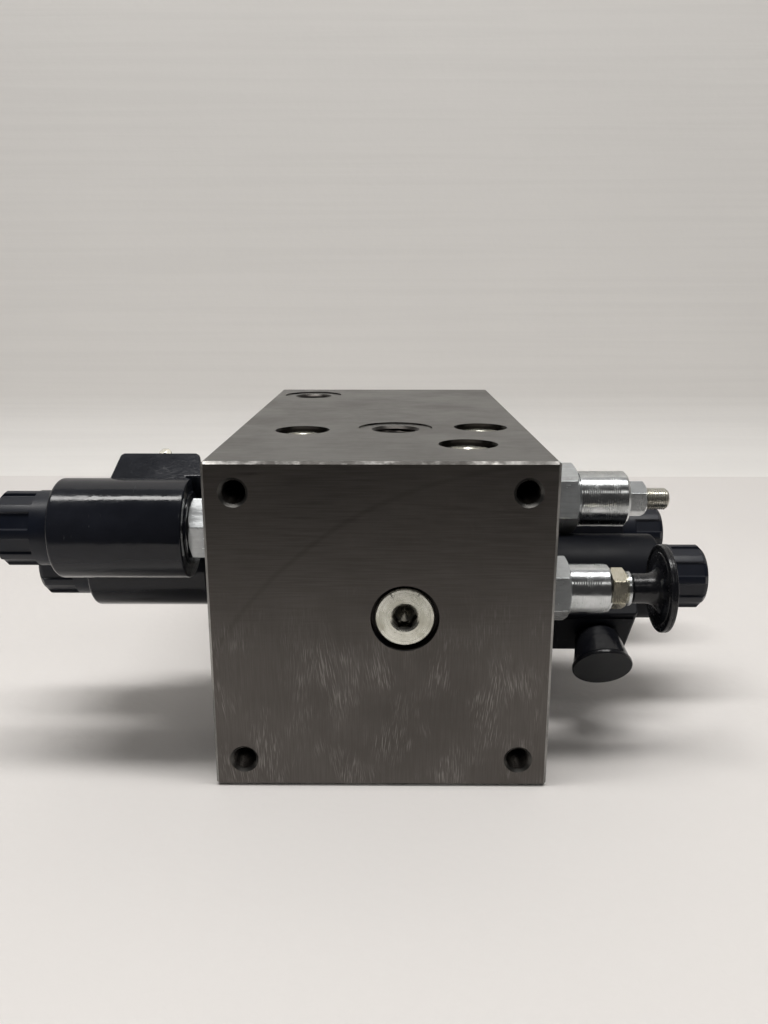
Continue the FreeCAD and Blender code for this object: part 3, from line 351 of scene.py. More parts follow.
FINISH = {"block": STEEL, "plug_steel": PLUG, "zinc_steel": ZINC, "yellow_zinc": YELLOW,
          "bright_steel": BRIGHT, "coil_plastic": GLOSS, "nut_plastic": SATIN,
          "knob_plastic": KNOB, "cap_rubber": CAP, "black_rubber": RUBBER,
          "tinned_brass": TINNED}


# ---------------------------------------------------------------- mesh making
def as_object(name, mesh, at=None, crease=32.0):
    mesh.update()
    shell = bmesh.new()
    shell.from_mesh(mesh)
    bmesh.ops.recalc_face_normals(shell, faces=shell.faces)
    shell.to_mesh(mesh)
    shell.free()
    mesh.shade_smooth()
    mesh.set_sharp_from_angle(angle=math.radians(crease))
    made = bpy.data.objects.new(name, mesh)
    bpy.context.scene.collection.objects.link(made)
    if at is not None:
        made.matrix_world = at
    return made


def turned(name, rows, at=None, angles=EVEN, loop=False, crease=32.0):
    """Solid about local Z.  A row is (radius, height); each may vary with the angle."""
    count = len(angles)
    cosines, sines = np.cos(angles), np.sin(angles)
    points, faces, rings = [], [], []
    for radius, height in rows:
        radius = np.broadcast_to(np.asarray(radius, float), count) * MM
        height = np.broadcast_to(np.asarray(height, float), count) * MM
        if radius.max() < 1e-9:
            rings.append([len(points)])
            points.append((0.0, 0.0, float(height[0])))
        else:
            rings.append(list(range(len(points), len(points) + count)))
            points.extend(zip(radius * cosines, radius * sines, height))
    pairs = list(zip(rings, rings[1:]))
    if loop:
        pairs.append((rings[-1], rings[0]))
    for low, high in pairs:
        for i in range(count):
            j = (i + 1) % count
            if len(low) == 1 and len(high) == 1:
                break
            if len(low) == 1:
                faces.append((low[0], high[j], high[i]))
            elif len(high) == 1:
                faces.append((low[i], low[j], high[0]))
            else:
                faces.append((low[i], low[j], high[j], high[i]))
    mesh = bpy.data.meshes.new(name)
    mesh.from_pydata([tuple(map(float, p)) for p in points], [], faces)
    return as_object(name, mesh, at, crease)


def rounded(corners, steps=5):
    """Outline of (radius, height[, fillet]) corners with each fillet drawn as an arc."""
    drawn_points = []
    count = len(corners)
    for i, corner in enumerate(corners):
        here = Vector(corner[:2])
        fillet = corner[2] if len(corner) > 2 else 0.0
        if not fillet or i in (0, count - 1):
            drawn_points.append(tuple(here))
            continue
        back = Vector(corners[i - 1][:2]) - here
        ahead = Vector(corners[(i + 1) % count][:2]) - here
        half = back.angle(ahead) / 2
        reach = min(fillet / math.tan(half), 0.49 * back.length, 0.49 * ahead.length)
        middle = here + (back.normalized() + ahead.normalized()).normalized() \
            * (reach / math.cos(half))
        start = here + back.normalized() * reach - middle
        end = here + ahead.normalized() * reach - middle
        whole = start.angle(end)
        for k in range(steps + 1):
            t = k / steps
            if whole > 1e-6:
                arm = (start * math.sin((1 - t) * whole) + end * math.sin(t * whole)) \
                    / math.sin(whole)
            else:
                arm = start
            drawn_points.append(tuple(middle + arm))
    return drawn_points


def corner_edge(flat, fillet):
    return math.atan((flat - fillet) / flat * math.tan(SECTOR / 2))


def hex_angles(flat, fillet):
    """Angles for a hexagon with a corner on local X, gathered where the corners round."""
    edge = corner_edge(flat, fillet)
    half = [math.radians(a) for a in (0, 6, 12, 17, 21, 25, 27.5)]
    half += [edge, (edge * 2 + SECTOR / 2) / 3, (edge + SECTOR) / 3]
    around = sorted({-a for a in half} | set(half)) + [SECTOR / 2]
    return np.array([SECTOR * (k + 0.5) + a for k in range(6) for a in around])


def hex_radius(angles, flat, fillet):
    turn = np.abs(np.mod(angles + 1e-9, SECTOR) - SECTOR / 2)
    centre = (flat - fillet) / math.cos(SECTOR / 2)
    off = SECTOR / 2 - turn
    arc = centre * np.cos(off) + np.sqrt(np.maximum(fillet**2 - (centre * np.sin(off))**2, 0))
    return np.where(turn > corner_edge(flat, fillet), arc, flat / np.cos(turn))


def groove(start, end, radius, pitch, depth):
    """Shallow turned grooves along a plain length."""
    rows = [(radius, start)]
    place = start + pitch
    while place < end - pitch:
        rows += [(radius, place - pitch * 0.22), (radius - depth, place),
                 (radius, place + pitch * 0.22)]
        place += pitch
    rows.append((radius, end))
    return rows


def thread_rows(angles, start, end, crest, root, pitch, fade=0.0, per_pitch=10):
    """Rows of a right-hand thread between its crest and root radii."""
    rows = []
    count = int(round((end - start) / pitch * per_pitch))
    for k in range(count + 1):
        height = start + (end - start) * k / count
        phase = np.mod(height / pitch - angles / (2 * math.pi), 1.0)
        wave = np.clip((np.abs(2 * phase - 1) - 0.12) / 0.76, 0, 1)
        level = root + (crest - root) * wave
        if fade:
            share = min(1.0, max(0.0, (end - height) / fade))
            level = np.minimum(level, root + (crest - root) * (0.15 + 0.85 * share))
        rows.append((level, height))
    return rows


def settle(base, others, operation="UNION"):
    """Joins or cuts other solids into the first and leaves a plain mesh."""
    for other in others:
        change = base.modifiers.new("solid", "BOOLEAN")
        change.operation = operation
        change.solver = "EXACT"
        change.object = other
    bpy.context.view_layer.update()
    graph = bpy.context.evaluated_depsgraph_get()
    mesh = bpy.data.meshes.new_from_object(base.evaluated_get(graph))
    base.modifiers.clear()
    base.data = mesh
    mesh.shade_smooth()
    mesh.set_sharp_from_angle(angle=math.radians(28))
    for other in others:
        bpy.data.objects.remove(other)
    return base


def prism(name, outline, width, bevel, at, bevelled=3):
    """Outline in local XZ, drawn out along local Y, with all its edges rounded."""
    shell = bmesh.new()
    near = [shell.verts.new((x * MM, -width / 2 * MM, z * MM)) for x, z in outline]
    far = [shell.verts.new((x * MM, width / 2 * MM, z * MM)) for x, z in outline]
    shell.faces.new(near)
    shell.faces.new(list(reversed(far)))
    for i in range(len(outline)):
        j = (i + 1) % len(outline)
        shell.faces.new((near[j], near[i], far[i], far[j]))
    bmesh.ops.recalc_face_normals(shell, faces=shell.faces)
    if bevel:
        bmesh.ops.bevel(shell, geom=list(shell.edges), offset=bevel * MM, segments=bevelled,
                        profile=0.5, affect="EDGES")
    mesh = bpy.data.meshes.new(name)
    shell.to_mesh(mesh)
    shell.free()
    return as_object(name, mesh, at)


def piece(made, body, slot, *stands_for, material=None):
    """Dresses a finished piece and hands it to its CAD body."""
    made.data.materials.clear()
    made.data.materials.append(material or FINISH[slot])
    tidy = made.modifiers.new("even_normals", "WEIGHTED_NORMAL")
    tidy.keep_sharp = True
    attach(made, body)
    if stands_for:
        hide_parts(*stands_for)
    return made


MOUNTS = {m["name"]: m for m in RECORD["mounts"]}


def middle(node):
    low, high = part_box(node)
    return (low + high) / 2


def outward(node, angle):
    """Local Z out of the block's side at the node's axis, local X at an angle above +Y."""
    centre = middle(node)
    side = 1.0 if centre.x > 0 else -1.0
    out = Vector((side, 0, 0))
    up = Vector((0, math.cos(math.radians(angle)), math.sin(math.radians(angle))))
    place = Matrix((up, out.cross(up), out)).transposed().to_4x4()
    face = BLOCK_HIGH.x if side > 0 else BLOCK_LOW.x
    place.translation = (face, centre.y, centre.z)
    return place


def upright(x, y, z, axis="z"):
    """Local Z along +Z, or out of the front face along -Y."""
    turn = Matrix.Rotation(math.radians(90), 4, "X") if axis == "front" else Matrix.Identity(4)
    return Matrix.Translation((x, y, z)) @ turn


# ---------------------------------------------------------------- block and its threads
# crest radius, root radius and pitch of the M10 corner holes and the G1/2 ports
CORNER_THREAD = (4.27, 4.96, 1.5)
PORT_THREAD = (9.34, 10.42, 1.814)


def block():
    """The CAD block with its thread lengths opened up, and a cut thread in each of them."""
    mesh = NODES["manifold_block"].data.copy()
    mesh.materials.clear()
    for layer in ("custom_normal", "sharp_face", "sharp_edge"):
        if layer in mesh.attributes:
            mesh.attributes.remove(mesh.attributes[layer])
    shell = bmesh.new()
    shell.from_mesh(mesh)
    bmesh.ops.remove_doubles(shell, verts=shell.verts, dist=1e-7)
    shell.to_mesh(mesh)
    shell.free()
    body = as_object("machined_block", mesh, crease=28)
    cutters, threads = [], []
    bolts = MOUNTS["front_bolts"]
    reach_x = bolts["dims"]["spacing_x_mm"] / 2 * MM
    reach_z = bolts["dims"]["spacing_y_mm"] / 2 * MM
    x, y, z = bolts["pos_m"]
    for i, (across, up) in enumerate(((-1, -1), (1, -1), (-1, 1), (1, 1))):
        at = upright(x + across * reach_x, BLOCK_LOW.y, z + up * reach_z, "front")
        cutters.append(turned(f"root_{i}", [(0, -23.6), (5.0, -23.6), (5.0, -1.15), (0, -1.15)],
                              at))
        inner = thread_rows(EVEN, -23.5, -1.0, *CORNER_THREAD)
        rows = [(5.03, -23.5), (5.03, -1.0)] + list(reversed(inner))
        threads.append(turned(f"corner_thread_{i}", rows, at, loop=True))
    for name in ("port_a", "port_b"):
        x, y, z = MOUNTS[name]["pos_m"]
        at = upright(x, y, BLOCK_HIGH.z)
        cutters.append(turned("root_" + name, [(0, -16.9), (10.45, -16.9), (10.45, -1.95),
                                               (0, -1.95)], at))
        inner = thread_rows(EVEN, -16.8, -1.75, *PORT_THREAD)
        rows = [(10.48, -16.8), (10.48, -1.75)] + list(reversed(inner))
        threads.append(turned("thread_" + name, rows, at, loop=True))
    settle(body, cutters, "DIFFERENCE")
    piece(body, "manifold", "block", "manifold_block")
    for made in threads:
        piece(made, "manifold", "block", material=TAPPED_SHADED)


# ---------------------------------------------------------------- screw plugs
def plug_rows(angles, collar, height, thread, socket, depth, mouth):
    """Socket screw plug about local Z, zero at its thread end."""
    length = 9.0
    seat = length + height
    hexed = hex_radius(angles, socket / 2, 0.25)
    neck = collar - 2.3
    outer = rounded([(0, 0), (thread - 1, 0, 0.2), (thread, 1, 0.2), (thread, length - 1.4, 0.2),
                     (thread - 0.7, length - 0.9, 0.2), (thread - 0.7, length, 0.1),
                     (neck, length, 0.1), (neck, length + 1, 0.1), (collar - 0.3, length + 1, 0.1),
                     (collar, length + 1.3, 0.1), (collar, seat - 0.5, 0.2),
                     (collar - 0.5, seat, 0.25), (mouth + 0.2, seat, 0.2), (mouth, seat - 0.15)],
                    steps=3)
    wall = seat - 0.25 - (mouth - hexed) * 0.75
    floor = seat - depth
    drill = socket / 2 - 0.15
    return outer + [(hexed, wall), (hexed, floor + 0.3), (drill + 0.05, floor),
                    (drill, floor - 0.1), (drill * 0.5, floor - 0.1 - drill * 0.30),
                    (0.25, floor - drill * 0.62), (0, floor - drill * 0.64)]


def plugs():
    angles = hex_angles(4.0, 0.25)
    low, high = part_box("front_plug")
    at = upright((low.x + high.x) / 2, high.y, (low.z + high.z) / 2, "front")
    made = turned("front_plug_body", plug_rows(angles, 11.0, 3.0, 7.42, 8.0, 6.0, 5.3), at, angles)
    piece(made, "manifold", "plug_steel", "front_plug")
    solids = []
    low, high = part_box("top_plugs")
    for i, opening in enumerate(o for o in RECORD["physics"]["openings"]
                                if o["name"].startswith("top_plug")):
        a, b = (Vector(corner) for corner in opening["box_m"])
        spin = Matrix.Rotation(math.radians((12, 47, 25)[i]), 4, "Z")
        at = upright((a.x + b.x) / 2, (a.y + b.y) / 2, low.z) @ spin
        angles = hex_angles(3.0, 0.2)
        solids.append(turned(f"top_plug_{i + 1}",
                             plug_rows(angles, 9.0, 3.0, 5.67, 6.0, 5.0, 4.0), at, angles))
    for i, made in enumerate(solids):
        piece(made, "manifold", "plug_steel", *(("top_plugs",) if i == 0 else ()))


# ---------------------------------------------------------------- cartridge bodies
# outer outlines inside the block, from the tip to the face, with their seal grooves
SMALL_NOSE = [(7.25, -41), (7.85, -40.4), (7.85, -37.1), (6.2, -37.1), (6.2, -34.9),
              (7.85, -34.9), (7.85, -32.5), (8.65, -32), (8.65, -29.1), (7.0, -29.1),
              (7.0, -26.9), (8.65, -26.9), (8.65, -15.5), (9.95, -14.5), (9.95, -3.4),
              (8.6, -2.6), (8.6, -0.05)]
LARGE_NOSE = [(10.6, -45.5), (11.2, -44.9), (11.2, -41.6), (9.5, -41.6), (9.5, -39.4),
              (11.2, -39.4), (11.2, -36.5), (12.3, -36), (12.3, -32.1), (10.5, -32.1),
              (10.5, -29.9), (12.3, -29.9), (12.3, -19.5), (13.4, -18.5), (13.4, -4.0),
              (11.9, -3.2), (11.9, -0.05)]
HEX_FILLET, LOCKNUT_FILLET = 0.45, 0.3


def hex_body(name, at, nose, across, height, hollow, lip=0.35):
    """Cartridge body: nose, then a hexagon with both ends turned down at thirty degrees."""
    flat = across / 2
    angles = hex_angles(flat, HEX_FILLET)
    hexed = hex_radius(angles, flat, HEX_FILLET)
    slope = math.tan(math.radians(30))
    drop = (hexed - flat + lip) * slope
    rows = [(hollow[0][0], hollow[0][1])] + nose
    rows += [(flat - lip - 0.15, 0.0), (flat - lip, 0.02), (hexed, drop), (hexed, height - drop),
             (flat - lip, height - 0.02), (flat - lip - 0.15, height)]
    rows += list(reversed(hollow[1:]))
    return turned(name, rows, at, angles, loop=True, crease=24)


SMALL_HOLLOW = [(3.8, -41), (3.8, -38), (5.0, -37), (5.0, -3.0), (6.5, -3.0)]
LARGE_HOLLOW = [(4.0, -45.5), (4.0, -42.5), (8.0, -41.5), (8.0, 14.0), (9.0, 14.0)]

# turn of the hexagon, the connector tower and the nut's flutes, in degrees above +Y
SOLENOIDS = {"left_front": (165, 35, 35), "left_rear": (165, 35, 25),
             "right_front": (150, 215, 30), "right_rear": (150, 35, 30)}
CAPPED = "right_front"
BOSS = 29.6
SMALL_HEX, SMALL_HEX_HEIGHT = 22.2, 9.0
LARGE_HEX, LARGE_HEX_HEIGHT = 28.6, 25.4
LOCKNUT_HEX = 14.3
COIL_RADIUS, COIL_BORE, COIL_START, COIL_END = 19.0, 8.1, 9.6, 59.0
TOWER_WIDTH, TOWER_DRAFT = 28.0, 0.9
NUT_RADIUS, NUT_END, NUT_COLLAR, FLUTES = 14.3, 81.0, 7.6, 9
NEEDLE_ANGLE, NEEDLE_NUT_ANGLE, KNOB_ANGLE = 139, 150, 144


# ---------------------------------------------------------------- solenoids
def coil(name, at, height, outer, boss):
    drum = rounded([(COIL_BORE, 9.0), (14.0, 9.0, 0.3), (14.0, COIL_START, 0.2),
                    (COIL_RADIUS, COIL_START, 0.9), (COIL_RADIUS, COIL_END, 1.5),
                    (COIL_BORE, COIL_END)], steps=6)
    shell = turned(name, drum, at, FINE, loop=True, crease=30)
    brow, foot = outer - TOWER_DRAFT, outer + TOWER_DRAFT
    tower = prism("tower", [(13.6, 5.4), (height - 1.2, 8.2), (height, 9.6), (height, brow - 1.2),
                            (height - 1.2, brow), (10.6, foot), (10.6, 11.6), (13.6, 11.6)],
                  TOWER_WIDTH, 0.8, at)
    middle_s = (8.6 + outer) / 2
    lid = prism("lid", [(height - 1, 11.1), (height + 0.8, 11.1), (height + 0.8, outer - 2.5),
                        (height - 1, outer - 2.5)], 23.0, 0.35, at, 2)
    parts = [tower, lid]
    if boss:
        lift = at @ Matrix.Translation(((height - 1) * MM, 0, BOSS * MM)) \
            @ Matrix.Rotation(math.radians(90), 4, "Y")
        parts.append(turned("boss", rounded([(0, 0), (5.6, 0), (5.6, 14.8, 0.6), (0, 14.8)]),
                            lift))
    else:
        rim = [(26.9, middle_s - 12.2), (27.25, middle_s - 12.2), (27.25, middle_s + 12.2),
               (26.9, middle_s + 12.2)]
        parts.append(prism("rim", rim, 20.5, 0.15, at, 2))
    return settle(shell, parts)


def blade(name, at, width, length, thickness):
    """Flat contact blade with a bevelled tip and a hole near its end; stands along local X."""
    curve = bpy.data.curves.new(name, "CURVE")
    curve.dimensions = "2D"
    curve.fill_mode = "BOTH"
    bevel = 0.1
    curve.extrude = (thickness / 2 - bevel) * MM
    curve.bevel_depth = bevel * MM
    curve.bevel_resolution = 2
    half = width / 2 - bevel
    tip = length - bevel
    outline = [(-1.5, -half), (tip - 1.6, -half), (tip, -half + 1.3), (tip, half - 1.3),
               (tip - 1.6, half), (-1.5, half)]
    hole = [(length - 3.2 + 0.8 * math.cos(a), 0.8 * math.sin(a))
            for a in np.linspace(0, -2 * math.pi, 20, endpoint=False)]
    for points in (outline, hole):
        line = curve.splines.new("POLY")
        line.points.add(len(points) - 1)
        line.use_cyclic_u = True
        for point, (x, y) in zip(line.points, points):
            point.co = (x * MM, y * MM, 0, 1)
    holder = bpy.data.objects.new(name + "_curve", curve)
    bpy.context.scene.collection.objects.link(holder)
    bpy.context.view_layer.update()
    mesh = bpy.data.meshes.new_from_object(
        holder.evaluated_get(bpy.context.evaluated_depsgraph_get()))
    bpy.data.objects.remove(holder)
    shell = bmesh.new()
    shell.from_mesh(mesh)
    bmesh.ops.remove_doubles(shell, verts=shell.verts, dist=1e-7)
    shell.to_mesh(mesh)
    shell.free()
    return as_object(name, mesh, at)


def bored(made, start, radius, steps, crease):
    """Blind bore into a solid's open rim, through rings of (radius, height) to a flat end."""
    mesh = made.data
    shell = bmesh.new()
    shell.from_mesh(mesh)
    rim = [v for v in shell.verts if abs(v.co.z - start * MM) < 1e-7
           and abs(v.co.xy.length - radius * MM) < 1e-6]
    rim.sort(key=lambda v: math.atan2(v.co.y, v.co.x))
    last = rim
    for r, s in steps:
        ring = [shell.verts.new((r * MM * math.cos(a), r * MM * math.sin(a), s * MM))
                for a in (math.atan2(v.co.y, v.co.x) for v in rim)]
        for i in range(len(ring)):
            j = (i + 1) % len(ring)
            shell.faces.new((last[i], last[j], ring[j], ring[i]))
        last = ring
    shell.faces.new(last)
    bmesh.ops.recalc_face_normals(shell, faces=shell.faces)
    shell.to_mesh(mesh)
    shell.free()
    mesh.shade_smooth()
    mesh.set_sharp_from_angle(angle=math.radians(crease))
    return made


def nut(name, at):
    """Fluted nut: plain collar, nine flat-floored flutes running out of the bevelled end."""
    angles = np.linspace(0, 2 * math.pi, FLUTES * 40, endpoint=False)
    half_step = math.pi / FLUTES
    from_flute = np.abs(np.mod(angles + half_step, 2 * half_step) - half_step)
    radius, start, end, collar = NUT_RADIUS, COIL_END, NUT_END, NUT_COLLAR
    half_width = 3.15
    reach = np.arcsin(half_width / radius)
    soft = 0.035
    share = np.clip((reach + soft / 2 - from_flute) / soft, 0, 1)
    share = share * share * (3 - 2 * share)
    floor = np.minimum(radius, 13.0 / np.cos(np.minimum(from_flute, 1.0)))

    def section(limit, amount):
        cut = radius - (radius - floor) * share * amount
        return np.minimum(cut, limit)

    rows = rounded([(COIL_BORE, start), (radius, start, 0.5), (radius, start + 3)])
    for s, amount in ((collar - 0.15, 0.0), (collar, 0.04), (collar + 0.12, 0.35),
                      (collar + 0.3, 0.8), (collar + 0.5, 1.0)):
        rows.append((section(radius, amount), start + s))
    chamfer = rounded([(radius, end - 6), (radius, end - 2.1, 0.6), (radius - 2.1, end, 0.5),
                       (radius - 5, end)])
    for limit, height in chamfer:
        rows.append((section(limit, 1.0), height))
    rows += [(6.0, end), (5.6, end - 0.25), (3.0, end - 0.25), (0, end - 0.25)]
    outer = turned(name, rows, at, angles, crease=30)
    return bored(outer, start, COIL_BORE, ((COIL_BORE, 60.8), (7.05, 60.8), (7.05, 76.5)), 30)


def solenoids():
    for key, (hexagon, tower, flute) in SOLENOIDS.items():
        capped = key == CAPPED
        height, outer = (30.5, 45.9) if capped else (26.5, 40.0)
        node = "coil_nut_" + key
        hexed = hex_body("hex_" + key, outward(node, hexagon), SMALL_NOSE, SMALL_HEX,
                         SMALL_HEX_HEIGHT, SMALL_HOLLOW + [(6.5, SMALL_HEX_HEIGHT)])
        piece(hexed, "manifold", "zinc_steel", "valve_body_" + key, material=ZINC_HEX)
        at, square = outward(node, tower), outward(node, 0)
        wound = coil("winding_" + key, at, height, outer, capped)
        wound.data.transform(square.inverted() @ at)
        wound.matrix_world = square
        # The right coils get the darker copy of the coil plastic, which paints shade on them.
        piece(wound, "manifold", "coil_plastic", "coil_" + key,
              material=GLOSS if key.startswith("left") else MATT_SHADED)
        piece(nut("nut_" + key, outward(node, flute)), "manifold", "nut_plastic", node)
        if capped:
            lift = at @ Matrix.Translation(((height + 0.8) * MM, 0, BOSS * MM)) \
                @ Matrix.Rotation(math.radians(90), 4, "Y")
            flared_cap(lift)
            continue
        for i, (s, across, wide) in enumerate(((15.3, 0, False), (33.3, 0, False),
                                               (24.3, -7, True))):
            stand = at @ Matrix.Translation(((height + 0.8) * MM, across * MM, s * MM))
            if wide:
                stand = stand @ Matrix.Rotation(math.radians(90), 4, "X")
            made = blade(f"blade_{key}_{i + 1}", stand, 4.8 if wide else 6.3, 8.0, 0.8)
            stands_for = ("terminals_" + key,) if i == 0 else ()
            piece(made, "manifold", "tinned_brass", *stands_for)


def flared_cap(at):
    """Push-on cap: rounded neck flaring to a flat dull mouth."""
    rows = [(0, 13.4), (5.65, 13.4)]
    rows += rounded([(5.65, 0), (7.7, 0, 0.6), (9.3, 1.6, 2.2), (9.9, 6.0, 8.0),
                     (10.9, 10.5, 6.0), (11.9, 14.6, 1.2), (12.4, 15.3, 0.5), (12.4, 16.5, 0.4),
                     (12.0, 16.9, 0.3), (11.4, 16.75, 0.3)], steps=6)
    rows += [(8.0, 16.7), (4.0, 16.68), (0, 16.68)]
    made = turned("cap_body", rows, at, FINE, crease=40)
    piece(made, "manifold", "cap_rubber", "connector_cap")


# ---------------------------------------------------------------- adjusters
def locknut(name, at, start, end, bore):
    flat = LOCKNUT_HEX / 2
    angles = hex_angles(flat, LOCKNUT_FILLET)
    hexed = hex_radius(angles, flat, LOCKNUT_FILLET)
    crown = flat - 0.75
    drop = (hexed - crown) * math.tan(math.radians(38))
    low = (hexed - flat + 0.2) * math.tan(math.radians(30))
    rows = [(bore, start), (flat - 0.35, start), (flat - 0.2, start + 0.02),
            (hexed, start + low), (hexed, end - drop), (crown, end - 0.03),
            (crown - 0.2, end), (bore + 0.5, end), (bore, end - 0.45)]
    return turned(name, rows, at, angles, loop=True, crease=24)


def needle_valve():
    at = outward("needle_sleeve", NEEDLE_ANGLE)
    body = hex_body("needle_hex", at, LARGE_NOSE, LARGE_HEX, LARGE_HEX_HEIGHT,
                    LARGE_HOLLOW + [(9.0, LARGE_HEX_HEIGHT)], lip=0.5)
    piece(body, "manifold", "zinc_steel", "needle_valve_body", material=ZINC_HEX)
    rows = [(5.05, 14.0), (8.95, 14.0), (8.95, 25.4)]
    rows += rounded([(8.95, 25.4), (12.3, 25.4, 0.2), (12.4, 25.9, 0.1), (12.7, 26.3, 0.2)], 3)[1:]
    rows += groove(26.4, 44.4, 12.7, 0.9, 0.05)
    rows += rounded([(12.7, 44.4), (12.7, 47.1, 0.35), (11.4, 48.4, 0.35), (5.9, 48.4, 0.2),
                     (5.05, 47.8)], 4)[1:]
    piece(turned("needle_sleeve_body", rows, at, FINE, loop=True, crease=24),
          "manifold", "zinc_steel", "needle_sleeve")
    piece(locknut("needle_nut", outward("needle_sleeve", NEEDLE_NUT_ANGLE), 48.42, 57.4, 5.07),
          "manifold", "zinc_steel", "needle_locknut")
    angles = hex_angles(2.5, 0.15)
    hexed = hex_radius(angles, 2.5, 0.15)
    rows = [(0, -10), (4.4, -10), (4.9, -9.4), (4.9, 38)]
    rows += thread_rows(angles, 38.0, 67.1, 5.0, 4.4, 1.0, fade=0.7, per_pitch=8)
    rows += [(4.25, 67.5), (3.95, 67.8), (3.2, 67.8), (3.0, 67.7), (hexed, 67.4),
             (hexed, 61.8), (2.2, 61.6), (0, 60.5)]
    piece(turned("needle_screw_body", rows, at, angles, crease=24), "needle_screw",
          "bright_steel", "needle_screw", material=THREAD)


def knob_valve():
    at = outward("knob_sleeve", KNOB_ANGLE)
    body = hex_body("knob_hex", at, SMALL_NOSE, SMALL_HEX, SMALL_HEX_HEIGHT,
                    SMALL_HOLLOW + [(6.5, SMALL_HEX_HEIGHT)])
    piece(body, "manifold", "zinc_steel", "knob_valve_body", material=ZINC_HEX)
    rows = [(4.05, 1.0), (6.45, 1.0), (6.45, 9.0)]
    rows += rounded([(6.45, 9.0), (9.3, 9.0, 0.2), (9.5, 9.4, 0.2)], 3)[1:]
    rows += groove(9.6, 21.3, 9.5, 0.9, 0.05)
    rows += rounded([(9.5, 21.3), (9.5, 24.1, 0.35), (8.3, 25.3, 0.35), (4.9, 25.3, 0.2),
                     (4.05, 24.7)], 4)[1:]
    piece(turned("knob_sleeve_body", rows, at, FINE, loop=True, crease=24),
          "manifold", "zinc_steel", "knob_sleeve")
    piece(locknut("knob_nut", at, 25.32, 31.6, 4.1), "manifold", "yellow_zinc", "knob_locknut")
    rows = rounded([(4.05, 31.6), (6.3, 31.6, 0.1), (6.7, 32.0, 0.2), (6.7, 33.0, 0.2),
                    (6.0, 33.7, 0.2), (4.4, 33.7, 0.1), (4.05, 33.5)], 3)
    piece(turned("knob_ring", rows, at, loop=True, crease=24), "manifold", "yellow_zinc",
          "knob_collar", material=ZINC)
    flare = [(5.8 + 5.0 * (1 - math.cos(t)), 39.4 + 5.0 * math.sin(t))
             for t in np.linspace(0, math.pi / 2, 14)][:-1]
    rows = [(4.05, 34.0)] + rounded([(4.05, 34.0), (5.8, 34.0, 0.25), (5.8, 35.0)], 3)[1:]
    rows += flare
    rows += rounded([(11.2, 44.42), (13.9, 44.42, 0.15), (14.15, 44.78, 0.15),
                     (15.5, 44.78, 0.15), (15.75, 44.42, 0.15), (17.0, 44.42, 0.9),
                     (17.0, 45.65, 0.2), (16.75, 45.85, 0.1), (17.0, 46.05, 0.2),
                     (17.0, 47.1, 0.8), (15.6, 47.1, 0.3), (15.2, 46.65, 0.25),
                     (14.6, 46.65, 0.25), (14.2, 47.0, 0.25), (13.6, 47.0, 0.3),
                     (13.1, 46.35, 0.3), (7.0, 46.3, 0.4), (6.6, 46.8, 0.3), (2.0, 46.85)], 4)
    rows += [(1.2, 46.6), (0, 46.6)]
    made = turned("knob_bell", rows, at, FINE, crease=34)
    bored(made, 34.0, 4.05, ((4.05, 43.5),), 34)
    piece(made, "hand_knob", "knob_plastic", "hand_knob")


def springs():
    """Return springs, copied from their CAD meshes; on the valve they shorten towards their outer
    ends as the armatures pull in.
    """
    for joint in RECORD["behaviour"]["joints"]:
        for soft in joint.get("deforming_nodes", ()):
            node = soft["node"]
            made = as_object(node + "_coil", NODES[node].data.copy(), crease=40)
            piece(made, "manifold", "bright_steel", node)
            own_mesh(made)


# The cut threads in the block's holes take a dark copy of the plated steel: painted shade deep in
# the holes.
TAPPED_SHADED = plated("tapped_steel_shaded", (0.13, 0.12, 0.11), (0.075, 0.07, 0.065), (0.34, 0.48), 900.0)
THREAD = plated("thread_steel", (0.70, 0.69, 0.64), (0.52, 0.50, 0.44), (0.22, 0.36), 1200.0)

block()
plugs()
solenoids()
needle_valve()
knob_valve()
springs()

for part in RECORD["subparts"]:
    node = NODES[part["node"]]
    while len(node.material_slots) > 1:
        node.data.materials.pop()
    if not node.material_slots:
        node.data.materials.append(None)
    node.material_slots[0].material = FINISH[part["material_slot"]]


# ---------------------------------------------------------------- stage, light, camera
def paper(name, color, streaks):
    paint = Paint(name, color, Roughness=0.85, Specular_IOR_Level=0.2)
    cloud = paint.noise(3.0, 4)
    fibre = paint.noise(260, 3)
    shade = paint.blend(paint.step(cloud, 0.3, 0.7, 0.0, 0.35), color,
                        tuple(0.93 * c for c in color))
    height = fibre
    if streaks:
        rows = paint.noise(1.0, 4, paint.stretch((2.5, 2.5, 150)))
        beads = paint.noise(160, 2)
        shade = paint.blend(paint.step(rows, 0.40, 0.66, 0.0, 0.24), shade,
                            tuple(0.90 * c for c in color))
        height = paint.math("ADD", rows, paint.math("MULTIPLY", beads, 0.4))
    return paint.finish(shade, None, height, 0.0006, 0.35)


